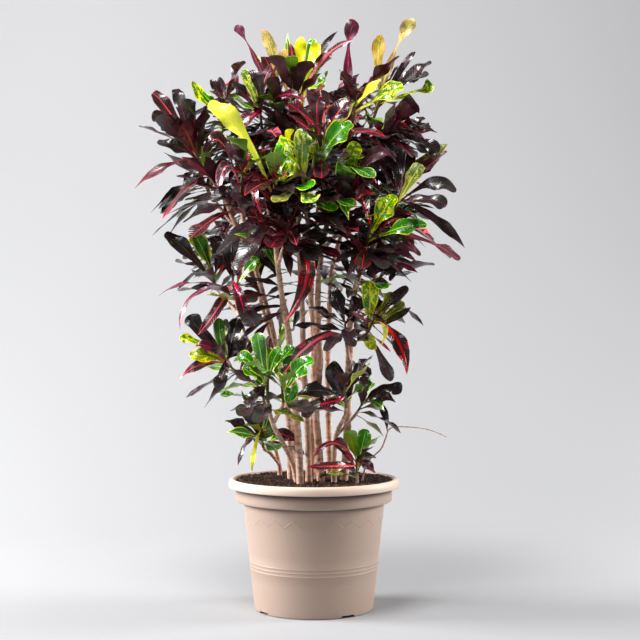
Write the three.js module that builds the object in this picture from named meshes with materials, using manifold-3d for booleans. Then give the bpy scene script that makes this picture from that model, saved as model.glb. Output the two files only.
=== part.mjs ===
// A potted croton: a round plastic pot, its soil, the woody stems and their leafy shoots.
// Millimetres, +Z up. The pot's flat foot stands on z = 0 with its axis on the Z axis, and
// the plant is seen from -Y.
import * as THREE from "three";
import { mergeVertices } from "three/addons/utils/BufferGeometryUtils.js";
import Module from "manifold-3d";

const wasm = await Module();
wasm.setup();

// Driving dimensions of the pot
const POT = {
  height: 255,
  footRadius: 116.5,
  bodyRadius: 138.5,
  bodyTop: 209,
  collarRadius: 153.5,
  collarBase: 212.5,
  lipBase: 238.5,
  lipRadius: 167,
  mouthRadius: 153.5,
  throatRadius: 150,
  wall: 3.2,
  floor: 7.5,
  sides: 44,
};
const FOOT_BEVEL = 3;
const RING_HEIGHTS = [81, 88, 95];
const RING_HALF = 1.2;
const RELIEF = 0.9;
const ZIGZAG = { middle: 180, swing: 7, half: 1.7 };
const NOTCH = { turns: [0.6, 2.17, 3.74, 5.31], width: 30, height: 5, depth: 16 };
const DRAIN = { radius: 6, ring: 84, channelWidth: 12, channelHeight: 2.2 };

// Soil, and the holes in it that the woody stems stand in. It dips from its rim to its middle
// over rings of a radius and a height, and heaves by up to its swell.
const SOIL = {
  middle: 245,
  rim: 252,
  rings: [[112, 249], [60, 246]],
  swell: 3,
  sides: 24,
  holeDepth: 36,
  seed: 7,
};
const GAP = 0.3;
const WELD = 0.01;
const UP = new THREE.Vector3(0, 0, 1);

// Stems: the sides of a main stem, of a branch and of a shoot, and the radius of a shoot's end
const MAIN_SIDES = 5;
const BRANCH_SIDES = 5;
const SHOOT_SIDES = 4;
const SHOOT_END = 1.5;

// The front view that places the plant. A place in it is [across, down, depth]: across and
// down in its 640 pixels, and depth in millimetres behind the pot's axis.
const VIEW = { distance: 2735, height: 565, offset: 12, focal: 1392, centre: 320 };

// Leaves. A blade has four waves when it is long and three otherwise, its edges lift by up to
// a share of its width, and its last ring is a share of the way to its tip.
const LEAF_THICKNESS = 0.9;
const LEAF_CLEARANCE = 0.35;
const LONG_LEAF = 143;
const WAVE_SHARE = 0.3;
const TIP_SHARE = 0.88;
const TWIST = 1.6;

// Where leaves stand along their shoot's stem: the first place and the span, as shares
const FEET = { from: 0.12, span: 0.84 };

// A spiral leaf turns by a fixed angle from the one below, opens wide at the shoot's foot and
// less at its tip, and differs by seeded draws: each pair is a least value and a span.
const SPIRAL = THREE.MathUtils.degToRad(137.5);
const OPENING = { low: 1.5, high: 0.55, jitter: 0.35, turn: 0.5 };
const LENGTH_SPREAD = [0.78, 0.4];
const WIDTH_SPREAD = [0.95, 0.35];
const DROOP_SPREAD = [0.12, 0.4];
const DROOP_RISE = [1.1, -0.6];

// An aimed leaf turns its face this way, towards the front and up.
const FACED = new THREE.Vector3(0, -0.8, 0.6);

// Leaf outlines: half widths along the blade as shares of the widest, then the share where
// the tip starts to close and the power it closes by, 0.5 for a round tip and 1 for a point.
const OUTLINES = {
  spoon: [[[0, 0.1], [0.12, 0.16], [0.32, 0.6], [0.6, 0.94], [0.84, 1], [1, 1]], 0.82, 0.5],
  paddle: [[[0, 0.1], [0.2, 0.16], [0.42, 0.42], [0.66, 0.86], [0.84, 1], [1, 1]], 0.82, 0.5],
  blade: [[[0, 0.1], [0.14, 0.26], [0.36, 0.86], [0.58, 1], [1, 0.8]], 0.55, 1],
  waist: [[[0, 0.1], [0.14, 0.3], [0.36, 0.62], [0.62, 0.16], [0.8, 0.95], [1, 1]], 0.86, 0.5],
  spindle: [[[0, 0.12], [0.26, 0.2], [0.5, 0.62], [0.7, 1], [1, 0.9]], 0.68, 0.8],
  ribbon: [[[0, 0.12], [0.16, 0.42], [0.42, 0.85], [0.62, 1], [1, 0.6]], 0.62, 0.9],
};

const SPIRAL_OUTLINES = ["spoon", "spoon", "blade", "spoon", "waist", "ribbon"];

// Ways to bend a leaf clear of its neighbours: a turn round its shoot and a change of its
// opening, both in degrees, and a share of its length.
const BENDS = [
  [0, 0, 1], [0, 10, 1], [0, -10, 1], [12, 0, 1], [-12, 0, 1], [12, 12, 1], [-12, 12, 1],
  [12, -12, 1], [-12, -12, 1], [0, 20, 0.95], [0, -20, 0.95], [24, 0, 0.9], [-24, 0, 0.9],
  [24, 18, 0.85], [-24, 18, 0.85], [0, 30, 0.8], [36, 0, 0.8], [-36, 0, 0.8], [0, 0, 0.7],
  [20, -20, 0.7], [-20, -20, 0.7], [40, 25, 0.65], [-40, 25, 0.65], [0, 0, 0.5],
];

// Ways to bend an aimed leaf clear: millimetres that its tip moves back or forward.
const SHIFTS = [0, 12, -12, 25, -25, 40, -40, 60, -60, 85, -85];

const COLOURS = {
  pot: 0xb8a596,
  soil: 0x2c2019,
  bark: 0x8c7864,
  dark: 0x2b2024,
  redrib: 0x561c26,
  red: 0xa02434,
  maroon: 0x5c2833,
  green: 0x2f6b2c,
  lime: 0x86a62f,
  yellow: 0xd8cd2e,
  ochre: 0xc08a3c,
  olive: 0x5f6630,
};
const ROUGHNESS = { pot: 0.55, soil: 0.95, bark: 0.8, leaf: 0.35 };

// Every row is one woody stem or branch and the leafy shoot at its end: the node that the
// wood belongs to, its radii at foot and end, its places from foot to end, the shoot's tip,
// [leaves, length, width, tone] for its spiral leaves, and its aimed leaves, each with tone,
// outline, width, roll in degrees, middle and tip.
const STEMS = [
  ["trunk_01", [5, 3], [[280, 477, 100], [279, 464, 88], [274, 445, 66], [269, 425, 56],
    [264, 402, 52]],
    [261, 374, 48], [4, 105, 29, "green"], []],
  ["trunk_01", [3.4, 2.6], [[279, 464, 88], [270, 453, 44], [263, 447, 10]],
    [261, 424, -8], [1, 90, 26, "dark"], [
      ["dark", "spoon", 31, 0, [252, 418, -14], [243, 407, -20]],
      ["dark", "blade", 25, 10, [242, 426, -22], [224, 421, -30]],
      ["green", "blade", 22, -10, [244, 433, -34], [226, 432, -46]],
      ["green", "spoon", 22, 0, [265, 416, 4], [267, 402, 8]],
      ["redrib", "blade", 25, 0, [282, 434, -28], [301, 443, -40]],
      ["dark", "ribbon", 15, 20, [246, 444, -34], [238, 466, -40]],
      ["yellow", "ribbon", 9, 0, [254, 452, -40], [252, 472, -44]]]],
  ["trunk_02", [6.5, 3.6], [[297.5, 484.2, 0], [293, 464, -8], [283, 443, -28], [273, 424, -48],
    [268, 402, -70]],
    [268, 374, -86], [2, 100, 26, "green"], [
      ["green", "spoon", 29, 0, [261, 356, -92], [257, 333, -94]],
      ["green", "spoon", 26, 0, [253, 365, -92], [238, 355, -98]],
      ["green", "spoon", 29, 20, [254, 376, -104], [243, 367, -116]],
      ["green", "spoon", 24, 0, [273, 362, -92], [281, 348, -98]],
      ["dark", "spoon", 36, 10, [255, 396, -104], [243, 402, -116]]]],
  ["trunk_02", [4, 3], [[273, 424, -48], [280, 411, -66], [283, 402, -76]],
    [281, 380, -92], [3, 100, 29, "green"], [
      ["green", "spoon", 36, 0, [297, 371, -108], [314, 361, -118]],
      ["green", "spoon", 29, 0, [291, 388, -112], [287, 402, -120]]]],
  ["trunk_03", [7, 3.6], [[291, 481.7, 45], [290, 453, 44], [288, 411, 40], [280, 367, 28],
    [272, 328, 20],
    [262, 290, 14], [250, 250, 8], [243, 218, -18], [241, 200, -44]],
    [243, 166, -72], [3, 125, 29, "redrib"], [
      ["redrib", "spoon", 29, 0, [222, 143, -86], [204, 153, -98]],
      ["redrib", "spoon", 26, 0, [228, 166, -94], [219, 186, -104]],
      ["dark", "spoon", 26, 0, [226, 190, -80], [212, 202, -88]]]],
  ["trunk_03", [4.6, 3.2], [[280, 367, 28], [262, 353, 16], [247, 340, 8], [240, 315, 0],
    [236, 300, -12]],
    [232, 276, -26], [1, 120, 29, "dark"], [
      ["maroon", "spoon", 26, 0, [243, 258, -30], [247, 240, -30]],
      ["green", "spoon", 24, 0, [248, 268, -42], [259, 259, -48]],
      ["maroon", "ribbon", 12, 30, [190, 283, -20], [157, 297, -20]],
      ["maroon", "ribbon", 16, 20, [193, 296, -42], [180, 330, -48]],
      ["redrib", "blade", 25, 0, [216, 311, -52], [198, 335, -58]],
      ["redrib", "spoon", 26, 0, [240, 296, -58], [244, 313, -62]]]],
  ["trunk_03", [3.4, 2.6], [[262, 353, 16], [247, 366, -4], [236, 371, -20]],
    [224, 358, -32], [0, 100, 26, "dark"], [
      ["dark", "spoon", 31, 0, [204, 335, -36], [189, 315, -36]],
      ["lime", "spoon", 19, 0, [199, 343, -44], [180, 340, -48]],
      ["maroon", "blade", 22, 0, [209, 347, -52], [195, 347, -58]],
      ["olive", "spoon", 31, 0, [207, 356, -54], [190, 358, -62]],
      ["redrib", "blade", 20, 0, [202, 364, -60], [179, 379, -66]],
      ["green", "spoon", 24, 0, [221, 340, -38], [219, 318, -36]],
      ["dark", "spoon", 29, 0, [232, 340, -24], [238, 318, -20]],
      ["dark", "blade", 22, 20, [239, 348, -20], [246, 333, -14]],
      ["dark", "spoon", 24, 0, [224, 372, -50], [216, 389, -56]]]],
  ["trunk_03", [3.4, 2.6], [[240, 315, 0], [227, 301, 24], [217, 290, 34]],
    [211, 267, 40], [2, 115, 29, "dark"], [
      ["dark", "spoon", 31, 0, [186, 250, 30], [164, 235, 24]],
      ["green", "spoon", 30, 20, [203, 250, 34], [190, 228, 28]],
      ["dark", "spoon", 26, 0, [219, 256, 30], [214, 236, 30]]]],
  ["trunk_04", [7.5, 4], [[300.5, 486.8, -40], [299, 453, -38], [296, 411, -36], [292, 370, -33],
    [288, 331, -30],
    [283, 304, -28], [278, 266, -26], [276, 243, -30], [276, 222, -48], [276, 208, -68]],
    [274, 178, -104], [2, 125, 29, "redrib"], [
      ["yellow", "paddle", 40, -10, [242, 133, -118], [208, 104, -124]],
      ["redrib", "ribbon", 18, 20, [256, 190, -126], [262, 215, -134]],
      ["green", "spoon", 26, 0, [280, 160, -116], [285, 137, -118]],
      ["lime", "spoon", 30, 0, [286, 172, -124], [296, 156, -134]]]],
  ["trunk_04", [3.6, 3], [[278, 266, -26], [282, 252, -50], [286, 243, -66]],
    [288, 224, -84], [4, 110, 26, "redrib"], [
      ["red", "blade", 30, 0, [308, 270, -118], [284, 324, -112]]]],
  ["trunk_04", [4, 3.2], [[276, 243, -30], [267, 200, -12], [264, 165, -6], [262, 130, -12]],
    [258, 98, -20], [2, 115, 26, "redrib"], [
      ["lime", "spoon", 24, 0, [251, 86, -24], [242, 71, -26]],
      ["dark", "spoon", 24, 0, [259, 84, -36], [248, 74, -44]],
      ["dark", "spoon", 26, 0, [243, 93, -34], [232, 85, -42]],
      ["redrib", "ribbon", 20, 0, [286, 94, -48], [305, 103, -62]],
      ["redrib", "spoon", 26, 0, [256, 113, -52], [238, 123, -64]]]],
  ["trunk_05", [6.5, 3.4], [[309, 483.8, 10], [308, 440, 10], [305, 390, 10], [303, 339, 12],
    [302, 300, 14],
    [299, 250, 18], [298, 205, 14], [297, 165, 0], [295, 130, -14]],
    [293, 90, -24], [3, 115, 26, "redrib"], [
      ["green", "ribbon", 14, 40, [288, 62, -26], [288, 33, -26]],
      ["ochre", "spindle", 24, 0, [283, 72, -36], [286, 48, -40]],
      ["red", "blade", 18, 20, [293, 66, -22], [290, 43, -20]]]],
  ["trunk_05", [3.8, 3], [[299, 250, 18], [307, 228, -26], [306, 214, -66], [305, 200, -92]],
    [303, 164, -124], [2, 120, 31, "lime"], [
      ["lime", "spoon", 36, 0, [302, 150, -138], [307, 132, -144]],
      ["green", "spoon", 42, 0, [331, 141, -132], [352, 123, -132]],
      ["lime", "spoon", 32, 0, [291, 153, -140], [279, 140, -150]]]],
  ["trunk_06", [7, 3.6], [[312, 481, 60], [313, 440, 55], [315, 390, 50], [316, 339, 46],
    [311, 304, 45],
    [309, 241, 46], [307, 200, 50], [305, 160, 50], [303, 125, 45]],
    [302, 82, 38], [1, 110, 26, "redrib"], [
      ["yellow", "spindle", 24, 0, [300, 60, 28], [302, 37, 26]],
      ["yellow", "spindle", 27, 0, [311, 62, 18], [321, 46, 12]],
      ["green", "spoon", 19, 0, [309, 58, 46], [313, 39, 50]],
      ["dark", "ribbon", 15, 20, [318, 56, 58], [338, 31, 62]],
      ["red", "ribbon", 22, 0, [326, 56, 14], [353, 41, 2]],
      ["green", "spoon", 22, 0, [319, 84, 8], [328, 71, 0]]]],
  ["trunk_06", [3.8, 3], [[309, 241, 46], [290, 215, 82], [278, 192, 102]],
    [270, 152, 112], [4, 125, 29, "dark"], []],
  ["trunk_06", [3.6, 2.8], [[307, 200, 50], [316, 172, 88], [324, 150, 110]],
    [328, 106, 122], [4, 120, 29, "redrib"], []],
  ["trunk_06", [3.4, 2.6], [[305, 160, 50], [290, 141, 22], [282, 122, 8]],
    [277, 86, 0], [2, 115, 26, "dark"], [
      ["maroon", "waist", 22, 20, [252, 52, 0], [235, 26, -4]],
      ["ochre", "spindle", 26, 0, [274, 60, 0], [262, 29, -2]],
      ["green", "blade", 17, 0, [262, 70, -10], [257, 56, -14]]]],
  ["trunk_07", [8, 3.6], [[321, 482.6, 30], [318, 440, 28], [316, 411, 25], [320, 360, 20],
    [318, 331, 10],
    [318, 290, 4], [322, 250, 0], [330, 210, -10], [338, 175, -14], [350, 132, 0]],
    [357, 92, 8], [3, 115, 29, "redrib"], [
      ["maroon", "waist", 30, 0, [348, 56, 6], [355, 20, 4]],
      ["olive", "spoon", 42, 0, [347, 103, -34], [336, 122, -46]],
      ["lime", "spoon", 38, 0, [385, 94, -22], [403, 85, -30]],
      ["yellow", "ribbon", 18, 0, [369, 90, -14], [381, 79, -18]]]],
  ["trunk_07", [4, 3], [[322, 250, 0], [334, 238, -42], [343, 229, -68]],
    [347, 192, -94], [2, 115, 29, "redrib"], [
      ["maroon", "spoon", 26, 0, [368, 160, -114], [396, 162, -126]],
      ["redrib", "ribbon", 20, 0, [360, 174, -128], [377, 184, -140]],
      ["green", "ribbon", 20, 20, [345, 204, -126], [349, 221, -132]],
      ["lime", "spoon", 29, 0, [350, 165, -106], [358, 143, -110]]]],
  ["trunk_07", [3.8, 2.8], [[330, 210, -10], [323, 184, -56], [322, 166, -86]],
    [325, 130, -118], [3, 120, 29, "redrib"], [
      ["redrib", "spoon", 29, 0, [317, 112, -134], [322, 96, -138]],
      ["redrib", "blade", 25, 0, [355, 132, -128], [386, 137, -128]]]],
  ["trunk_08", [6.5, 3.4], [[330, 479.4, 85], [329, 440, 80], [328, 390, 70], [328, 343, 60],
    [330, 300, 56],
    [332, 270, 56], [341, 235, 60], [352, 195, 60], [361, 160, 48], [371, 126, 26]],
    [384, 90, 8], [2, 115, 29, "dark"], [
      ["ochre", "waist", 25, 0, [393, 56, 8], [414, 19, 4]],
      ["dark", "ribbon", 14, 20, [402, 68, 0], [416, 52, -4]],
      ["dark", "paddle", 31, 0, [407, 80, -2], [431, 61, -8]],
      ["lime", "paddle", 26, 0, [412, 93, -16], [434, 86, -26]],
      ["ochre", "spindle", 28, 0, [378, 60, 16], [381, 34, 16]]]],
  ["trunk_08", [3.8, 2.8], [[341, 235, 60], [360, 214, 70], [376, 198, 74]],
    [398, 162, 62], [4, 120, 31, "dark"], [
      ["olive", "blade", 26, 0, [428, 157, 50], [448, 144, 44]]]],
  ["trunk_08", [3.6, 2.8], [[352, 195, 60], [346, 168, 118], [346, 150, 140]],
    [345, 112, 158], [4, 120, 29, "dark"], []],
  ["trunk_08", [3.4, 2.6], [[361, 160, 48], [372, 150, 14], [381, 142, -4]],
    [395, 123, -24], [2, 110, 29, "dark"], [
      ["redrib", "blade", 20, 0, [402, 113, -42], [421, 114, -50]],
      ["dark", "spoon", 24, 0, [410, 126, -30], [424, 117, -34]],
      ["dark", "blade", 25, 0, [416, 128, -18], [438, 133, -16]],
      ["dark", "spoon", 29, 0, [418, 139, -32], [439, 152, -36]]]],
  ["trunk_09", [5.5, 3.4], [[334, 485, -10], [334, 465, -12], [336, 436, -20], [344, 418, -30],
    [346, 408, -36]],
    [344, 386, -48], [3, 100, 29, "dark"], [
      ["dark", "spoon", 38, 0, [335, 379, -54], [339, 364, -56]],
      ["dark", "blade", 31, 0, [320, 390, -72], [294, 397, -84]],
      ["redrib", "blade", 25, 0, [326, 403, -78], [305, 406, -88]]]],
  ["trunk_09", [3.2, 2.4], [[336, 436, -20], [349, 422, 0], [358, 411, 14]],
    [367, 394, 22], [1, 90, 26, "dark"], [
      ["dark", "spoon", 26, 0, [383, 389, 10], [401, 393, 4]],
      ["green", "blade", 22, 0, [376, 402, 0], [384, 412, -6]],
      ["dark", "blade", 20, 0, [382, 396, -6], [396, 403, -14]],
      ["dark", "ribbon", 15, 20, [382, 408, 16], [387, 432, 16]]]],
  ["trunk_10", [8, 3.8], [[344, 482.6, 30], [347, 440, 34], [348, 397, 30], [349, 361, 20],
    [351, 343, 10],
    [350, 325, 4], [353, 300, -6], [361, 270, -10], [373, 246, -20], [385, 228, -30], [393, 213, -36]],
    [402, 188, -46], [3, 120, 29, "dark"], [
      ["olive", "spoon", 29, 0, [411, 180, -58], [421, 164, -62]],
      ["dark", "spoon", 31, 0, [430, 184, -52], [456, 192, -56]],
      ["dark", "spoon", 29, 0, [424, 199, -62], [447, 205, -68]],
      ["dark", "ribbon", 21, 20, [438, 221, -40], [465, 248, -34]]]],
  ["trunk_10", [4.4, 3], [[351, 343, 10], [361, 337, -10], [368, 332, -24]],
    [374, 318, -40], [0, 100, 26, "dark"], [
      ["lime", "spoon", 34, 0, [370, 302, -52], [371, 281, -56]],
      ["olive", "spoon", 22, 0, [384, 308, -30], [393, 292, -24]],
      ["olive", "spoon", 19, 0, [390, 313, -36], [404, 302, -32]],
      ["dark", "blade", 22, 0, [393, 318, -52], [411, 307, -58]],
      ["maroon", "blade", 22, 0, [362, 318, -70], [352, 312, -84]],
      ["yellow", "ribbon", 10, 0, [385, 328, -58], [381, 346, -64]],
      ["red", "blade", 30, 0, [398, 341, -50], [407, 375, -50]]]],
  ["trunk_10", [4, 3], [[349, 361, 20], [347, 347, -20], [346, 338, -44]],
    [345, 321, -62], [4, 105, 26, "dark"], [
      ["red", "blade", 28, 0, [313, 342, -88], [281, 378, -98]]]],
  ["trunk_10", [3.8, 2.8], [[350, 325, 4], [364, 306, 44], [371, 296, 58]],
    [382, 272, 66], [4, 115, 29, "dark"], []],
  ["trunk_10", [3.6, 2.8], [[353, 300, -6], [356, 290, -30], [358, 281, -46]],
    [365, 262, -62], [2, 105, 26, "redrib"], [
      ["maroon", "blade", 22, 0, [389, 253, -72], [417, 262, -72]],
      ["dark", "spoon", 36, 0, [380, 270, -90], [397, 272, -98]],
      ["maroon", "blade", 18, 0, [393, 264, -44], [418, 273, -42]]]],
  ["trunk_10", [3.6, 2.8], [[361, 270, -10], [364, 254, -44], [366, 246, -62]],
    [371, 224, -86], [1, 110, 29, "redrib"], [
      ["green", "spoon", 30, 10, [399, 228, -106], [427, 225, -116]],
      ["lime", "spoon", 38, 0, [382, 213, -98], [394, 195, -102]],
      ["redrib", "spoon", 26, 0, [391, 221, -70], [412, 213, -64]],
      ["dark", "ribbon", 24, 20, [390, 237, -100], [410, 241, -106]],
      ["maroon", "spoon", 24, 0, [398, 241, -76], [421, 255, -72]],
      ["maroon", "waist", 29, 0, [424, 240, -60], [460, 260, -54]]]],
  ["trunk_11", [6.5, 3.4], [[300, 480.4, 70], [294, 440, 66], [284, 390, 58], [270, 335, 52],
    [256, 280, 46],
    [246, 247, 36], [238, 230, 28], [231, 214, 18], [223, 195, 8], [213, 181, 0], [205, 171, -6]],
    [193, 150, -10], [2, 120, 29, "dark"], [
      ["redrib", "spoon", 29, 0, [171, 114, -14], [152, 93, -16]],
      ["dark", "spoon", 26, 0, [172, 130, -26], [152, 113, -34]],
      ["dark", "spoon", 29, 0, [180, 148, -40], [157, 142, -50]],
      ["maroon", "blade", 21, 10, [162, 168, -22], [134, 189, -26]]]],
  ["trunk_11", [3.6, 2.8], [[231, 214, 18], [236, 180, 38], [238, 152, 34], [235, 132, 28]],
    [224, 99, 20], [3, 110, 26, "redrib"], [
      ["lime", "spoon", 22, 0, [204, 99, 10], [193, 81, 4]],
      ["green", "spoon", 19, 0, [212, 103, 2], [202, 92, -6]],
      ["dark", "blade", 16, 0, [216, 88, 18], [210, 80, 18]],
      ["dark", "blade", 16, 0, [222, 86, 26], [218, 78, 28]]]],
  ["trunk_11", [3.8, 2.8], [[238, 230, 28], [214, 200, 66], [203, 180, 78]],
    [188, 142, 80], [4, 120, 29, "dark"], [
      ["dark", "spoon", 26, 0, [183, 112, 80], [176, 89, 84]],
      ["dark", "spoon", 24, 0, [191, 118, 74], [190, 99, 72]]]],
  ["trunk_11", [3.8, 2.8], [[256, 280, 46], [240, 262, 80], [232, 250, 94]],
    [222, 222, 108], [4, 115, 29, "dark"], []],
  ["trunk_11", [3.8, 2.8], [[246, 247, 36], [256, 206, 112], [261, 182, 138]],
    [262, 136, 156], [4, 120, 29, "redrib"], []],
  ["trunk_12", [3.2, 2.6], [[357, 486.2, -30], [357, 474, -32]],
    [356, 458, -36], [1, 80, 24, "green"], [
      ["green", "spoon", 29, 0, [362, 447, -36], [366, 429, -36]],
      ["redrib", "spoon", 22, 0, [345, 451, -48], [335, 439, -52]],
      ["redrib", "blade", 22, 0, [331, 466, -76], [309, 467, -92]],
      ["redrib", "ribbon", 13, 0, [334, 443, -62], [311, 460, -72]],
      ["maroon", "blade", 20, 0, [366, 464, -52], [376, 474, -60]]]],
  ["trunk_13", [7, 3.6], [[316, 477.2, 125], [316, 440, 126], [314, 390, 128], [312, 330, 130],
    [312, 270, 134],
    [317, 222, 142], [321, 182, 152]],
    [325, 142, 168], [4, 120, 29, "dark"], []],
  ["trunk_13", [3.8, 2.8], [[312, 330, 130], [332, 303, 152], [342, 288, 160]],
    [352, 262, 170], [4, 115, 29, "dark"], []],
  ["trunk_13", [3.8, 2.8], [[312, 270, 134], [292, 248, 160], [282, 233, 170]],
    [273, 202, 184], [4, 115, 29, "redrib"], []],
  ["trunk_13", [3.8, 2.8], [[314, 390, 128], [294, 373, 148], [285, 361, 156]],
    [278, 340, 164], [4, 105, 29, "green"], []],
  ["trunk_13", [3.8, 2.8], [[317, 222, 142], [346, 198, 162], [360, 186, 170]],
    [373, 158, 182], [4, 120, 29, "dark"], []],
];

// A thin dead twig without leaves
const TWIG = ["twig", [1.8, 0.8], [[362, 483.8, 10], [367, 463, 8], [381, 449, 5], [386, 437, 3],
  [391, 428, 0], [410, 427, -5], [430, 430, -8], [447, 437, -10]]];

function seen([across, down, depth]) {
  const scale = (VIEW.distance + depth) / VIEW.focal;
  return new THREE.Vector3(
    VIEW.offset + (across - VIEW.centre) * scale,
    depth,
    VIEW.height + (VIEW.centre - down) * scale,
  );
}

// Repeatable draws from 0 to 1 for one leaf
function seeded(seed) {
  let state = Math.imul(seed + 1, 2654435761) >>> 0;
  return () => {
    state = (Math.imul(state, 1664525) + 1013904223) >>> 0;
    return state / 4294967296;
  };
}

function solidOf(geometry) {
  const bare = geometry.clone();
  bare.deleteAttribute("normal");
  bare.deleteAttribute("uv");
  const merged = mergeVertices(bare, 1e-4);
  return new wasm.Manifold(new wasm.Mesh({
    numProp: 3,
    vertProperties: new Float32Array(merged.getAttribute("position").array),
    triVerts: new Uint32Array(merged.getIndex().array),
    tolerance: WELD,
  }));
}

function geometryOf(solid) {
  const mesh = solid.getMesh();
  const geometry = new THREE.BufferGeometry();
  geometry.setAttribute("position", new THREE.BufferAttribute(mesh.vertProperties, 3));
  geometry.setIndex(new THREE.BufferAttribute(mesh.triVerts, 1));
  geometry.computeVertexNormals();
  return geometry;
}

// The largest body of a solid, its hollows filled and its scraps dropped
function mainBody(solid) {
  return solid.decompose().reduce((a, b) => (b.volume() > a.volume() ? b : a));
}

// Whether no two corners of a solid are as close as a weld
function wellSpaced(solid) {
  const flat = solid.getMesh().vertProperties;
  const corners = Array.from({ length: flat.length / 3 }, (_, i) => flat.subarray(3 * i, 3 * i + 3));
  corners.sort((a, b) => a[0] - b[0]);
  return corners.every((a, i) => {
    for (let j = i + 1; j < corners.length && corners[j][0] - a[0] < WELD; j += 1) {
      const b = corners[j];
      if (Math.abs(a[1] - b[1]) < WELD && Math.abs(a[2] - b[2]) < WELD) {
        return false;
      }
    }
    return true;
  });
}

// A closed skin over rings of corners, with a fan at each end
function skinOf(rings) {
  const sides = rings[0].length;
  const places = rings.flat();
  const faces = [];
  for (let k = 0; k + 1 < rings.length; k += 1) {
    for (let i = 0; i < sides; i += 1) {
      const j = (i + 1) % sides;
      const [low, high] = [k * sides, (k + 1) * sides];
      const [a, b, c, d] = [low + i, low + j, high + j, high + i];
      faces.push(a, b, c, a, c, d);
    }
  }
  const last = (rings.length - 1) * sides;
  for (let i = 1; i + 1 < sides; i += 1) {
    faces.push(0, i + 1, i, last, last + i, last + i + 1);
  }
  return meshOf(places, faces);
}

function meshOf(places, faces) {
  const geometry = new THREE.BufferGeometry();
  const flat = places.flatMap((p) => [p.x, p.y, p.z]);
  geometry.setAttribute("position", new THREE.BufferAttribute(new Float32Array(flat), 3));
  geometry.setIndex(faces);
  return geometry;
}

// A point on the smooth line through the places, with t counted in places
function along(places, t) {
  const i = Math.min(Math.max(Math.floor(t), 0), places.length - 2);
  const f = t - i;
  const a = places[Math.max(i - 1, 0)];
  const b = places[i];
  const c = places[i + 1];
  const d = places[Math.min(i + 2, places.length - 1)];
  const weight = (p, w) => p.clone().multiplyScalar(w);
  return weight(a, -0.5 * f + f * f - 0.5 * f ** 3)
    .add(weight(b, 1 - 2.5 * f * f + 1.5 * f ** 3))
    .add(weight(c, 0.5 * f + 2 * f * f - 1.5 * f ** 3))
    .add(weight(d, -0.5 * f * f + 0.5 * f ** 3));
}

function headingAt(places, t) {
  const step = 0.01;
  return along(places, t + step).sub(along(places, t - step)).normalize();
}

// Rings of a round stem: each stop has its middle, heading and radius
function stemSolid(stops, sides) {
  let across = new THREE.Vector3(1, 0, 0);
  const rings = stops.map(({ middle, heading, radius }) => {
    across = across.clone().addScaledVector(heading, -across.dot(heading)).normalize();
    const other = heading.clone().cross(across);
    return Array.from({ length: sides }, (_, i) => {
      const angle = (2 * Math.PI * i) / sides;
      return middle.clone()
        .addScaledVector(across, radius * Math.cos(angle))
        .addScaledVector(other, radius * Math.sin(angle));
    });
  });
  return solidOf(skinOf(rings));
}

// A woody stem. One that stands in the soil starts with a straight foot in its hole.
function woodSolid([, [footRadius, endRadius], places, shootTip], rooted) {
  const line = [...places, ...(shootTip ? [shootTip] : [])].map(seen);
  const last = places.length - 1;
  const stops = places.map((_, k) => ({
    middle: line[k],
    heading: headingAt(line, k),
    radius: footRadius + ((endRadius - footRadius) * k) / last,
  }));
  if (rooted) {
    const [x, y] = line[0].toArray();
    stops[0].heading = UP;
    stops[0].middle = new THREE.Vector3(x, y, SOIL.rim + 2);
    stops.unshift({ ...stops[0], middle: new THREE.Vector3(x, y, SOIL.middle - SOIL.holeDepth + GAP) });
  }
  return stemSolid(stops, rooted ? MAIN_SIDES : BRANCH_SIDES);
}

function holeFor([, [footRadius], places]) {
  const [x, y] = seen(places[0]).toArray();
  const radius = footRadius + GAP / Math.cos(Math.PI / MAIN_SIDES);
  const ends = [SOIL.middle - SOIL.holeDepth, SOIL.rim + 2 * SOIL.swell];
  const stops = ends.map((z) => ({ middle: new THREE.Vector3(x, y, z), heading: UP, radius }));
  return stemSolid(stops, MAIN_SIDES);
}

function shootLine(row) {
  const places = row[2].map(seen);
  return { places: [...places, seen(row[3])], start: places.length - 1 };
}

// The green stem of a shoot, which carries its leaves
function shootStem(row) {
  const { places, start } = shootLine(row);
  const radii = [row[1][1], row[1][1] * 0.8, SHOOT_END];
  const stops = radii.map((radius, k) => ({
    middle: along(places, start + k / 2),
    heading: headingAt(places, start + Math.min(k / 2, 0.99)),
    radius,
  }));
  stops[0].middle.addScaledVector(stops[0].heading, GAP);
  return stemSolid(stops, SHOOT_SIDES);
}

// Half width of an outline as a share of the widest
function widthShare(outline, s) {
  const [body, tipFrom, tipPower] = OUTLINES[outline];
  const k = Math.max(1, body.findIndex(([at]) => at >= s));
  const [[s0, w0], [s1, w1]] = [body[k - 1], body[k]];
  const f = (s - s0) / (s1 - s0);
  const share = w0 + (w1 - w0) * f * f * (3 - 2 * f);
  const x = Math.max(0, (s - tipFrom) / (1 - tipFrom));
  return share * Math.max(0, 1 - x * x) ** tipPower;
}

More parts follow.
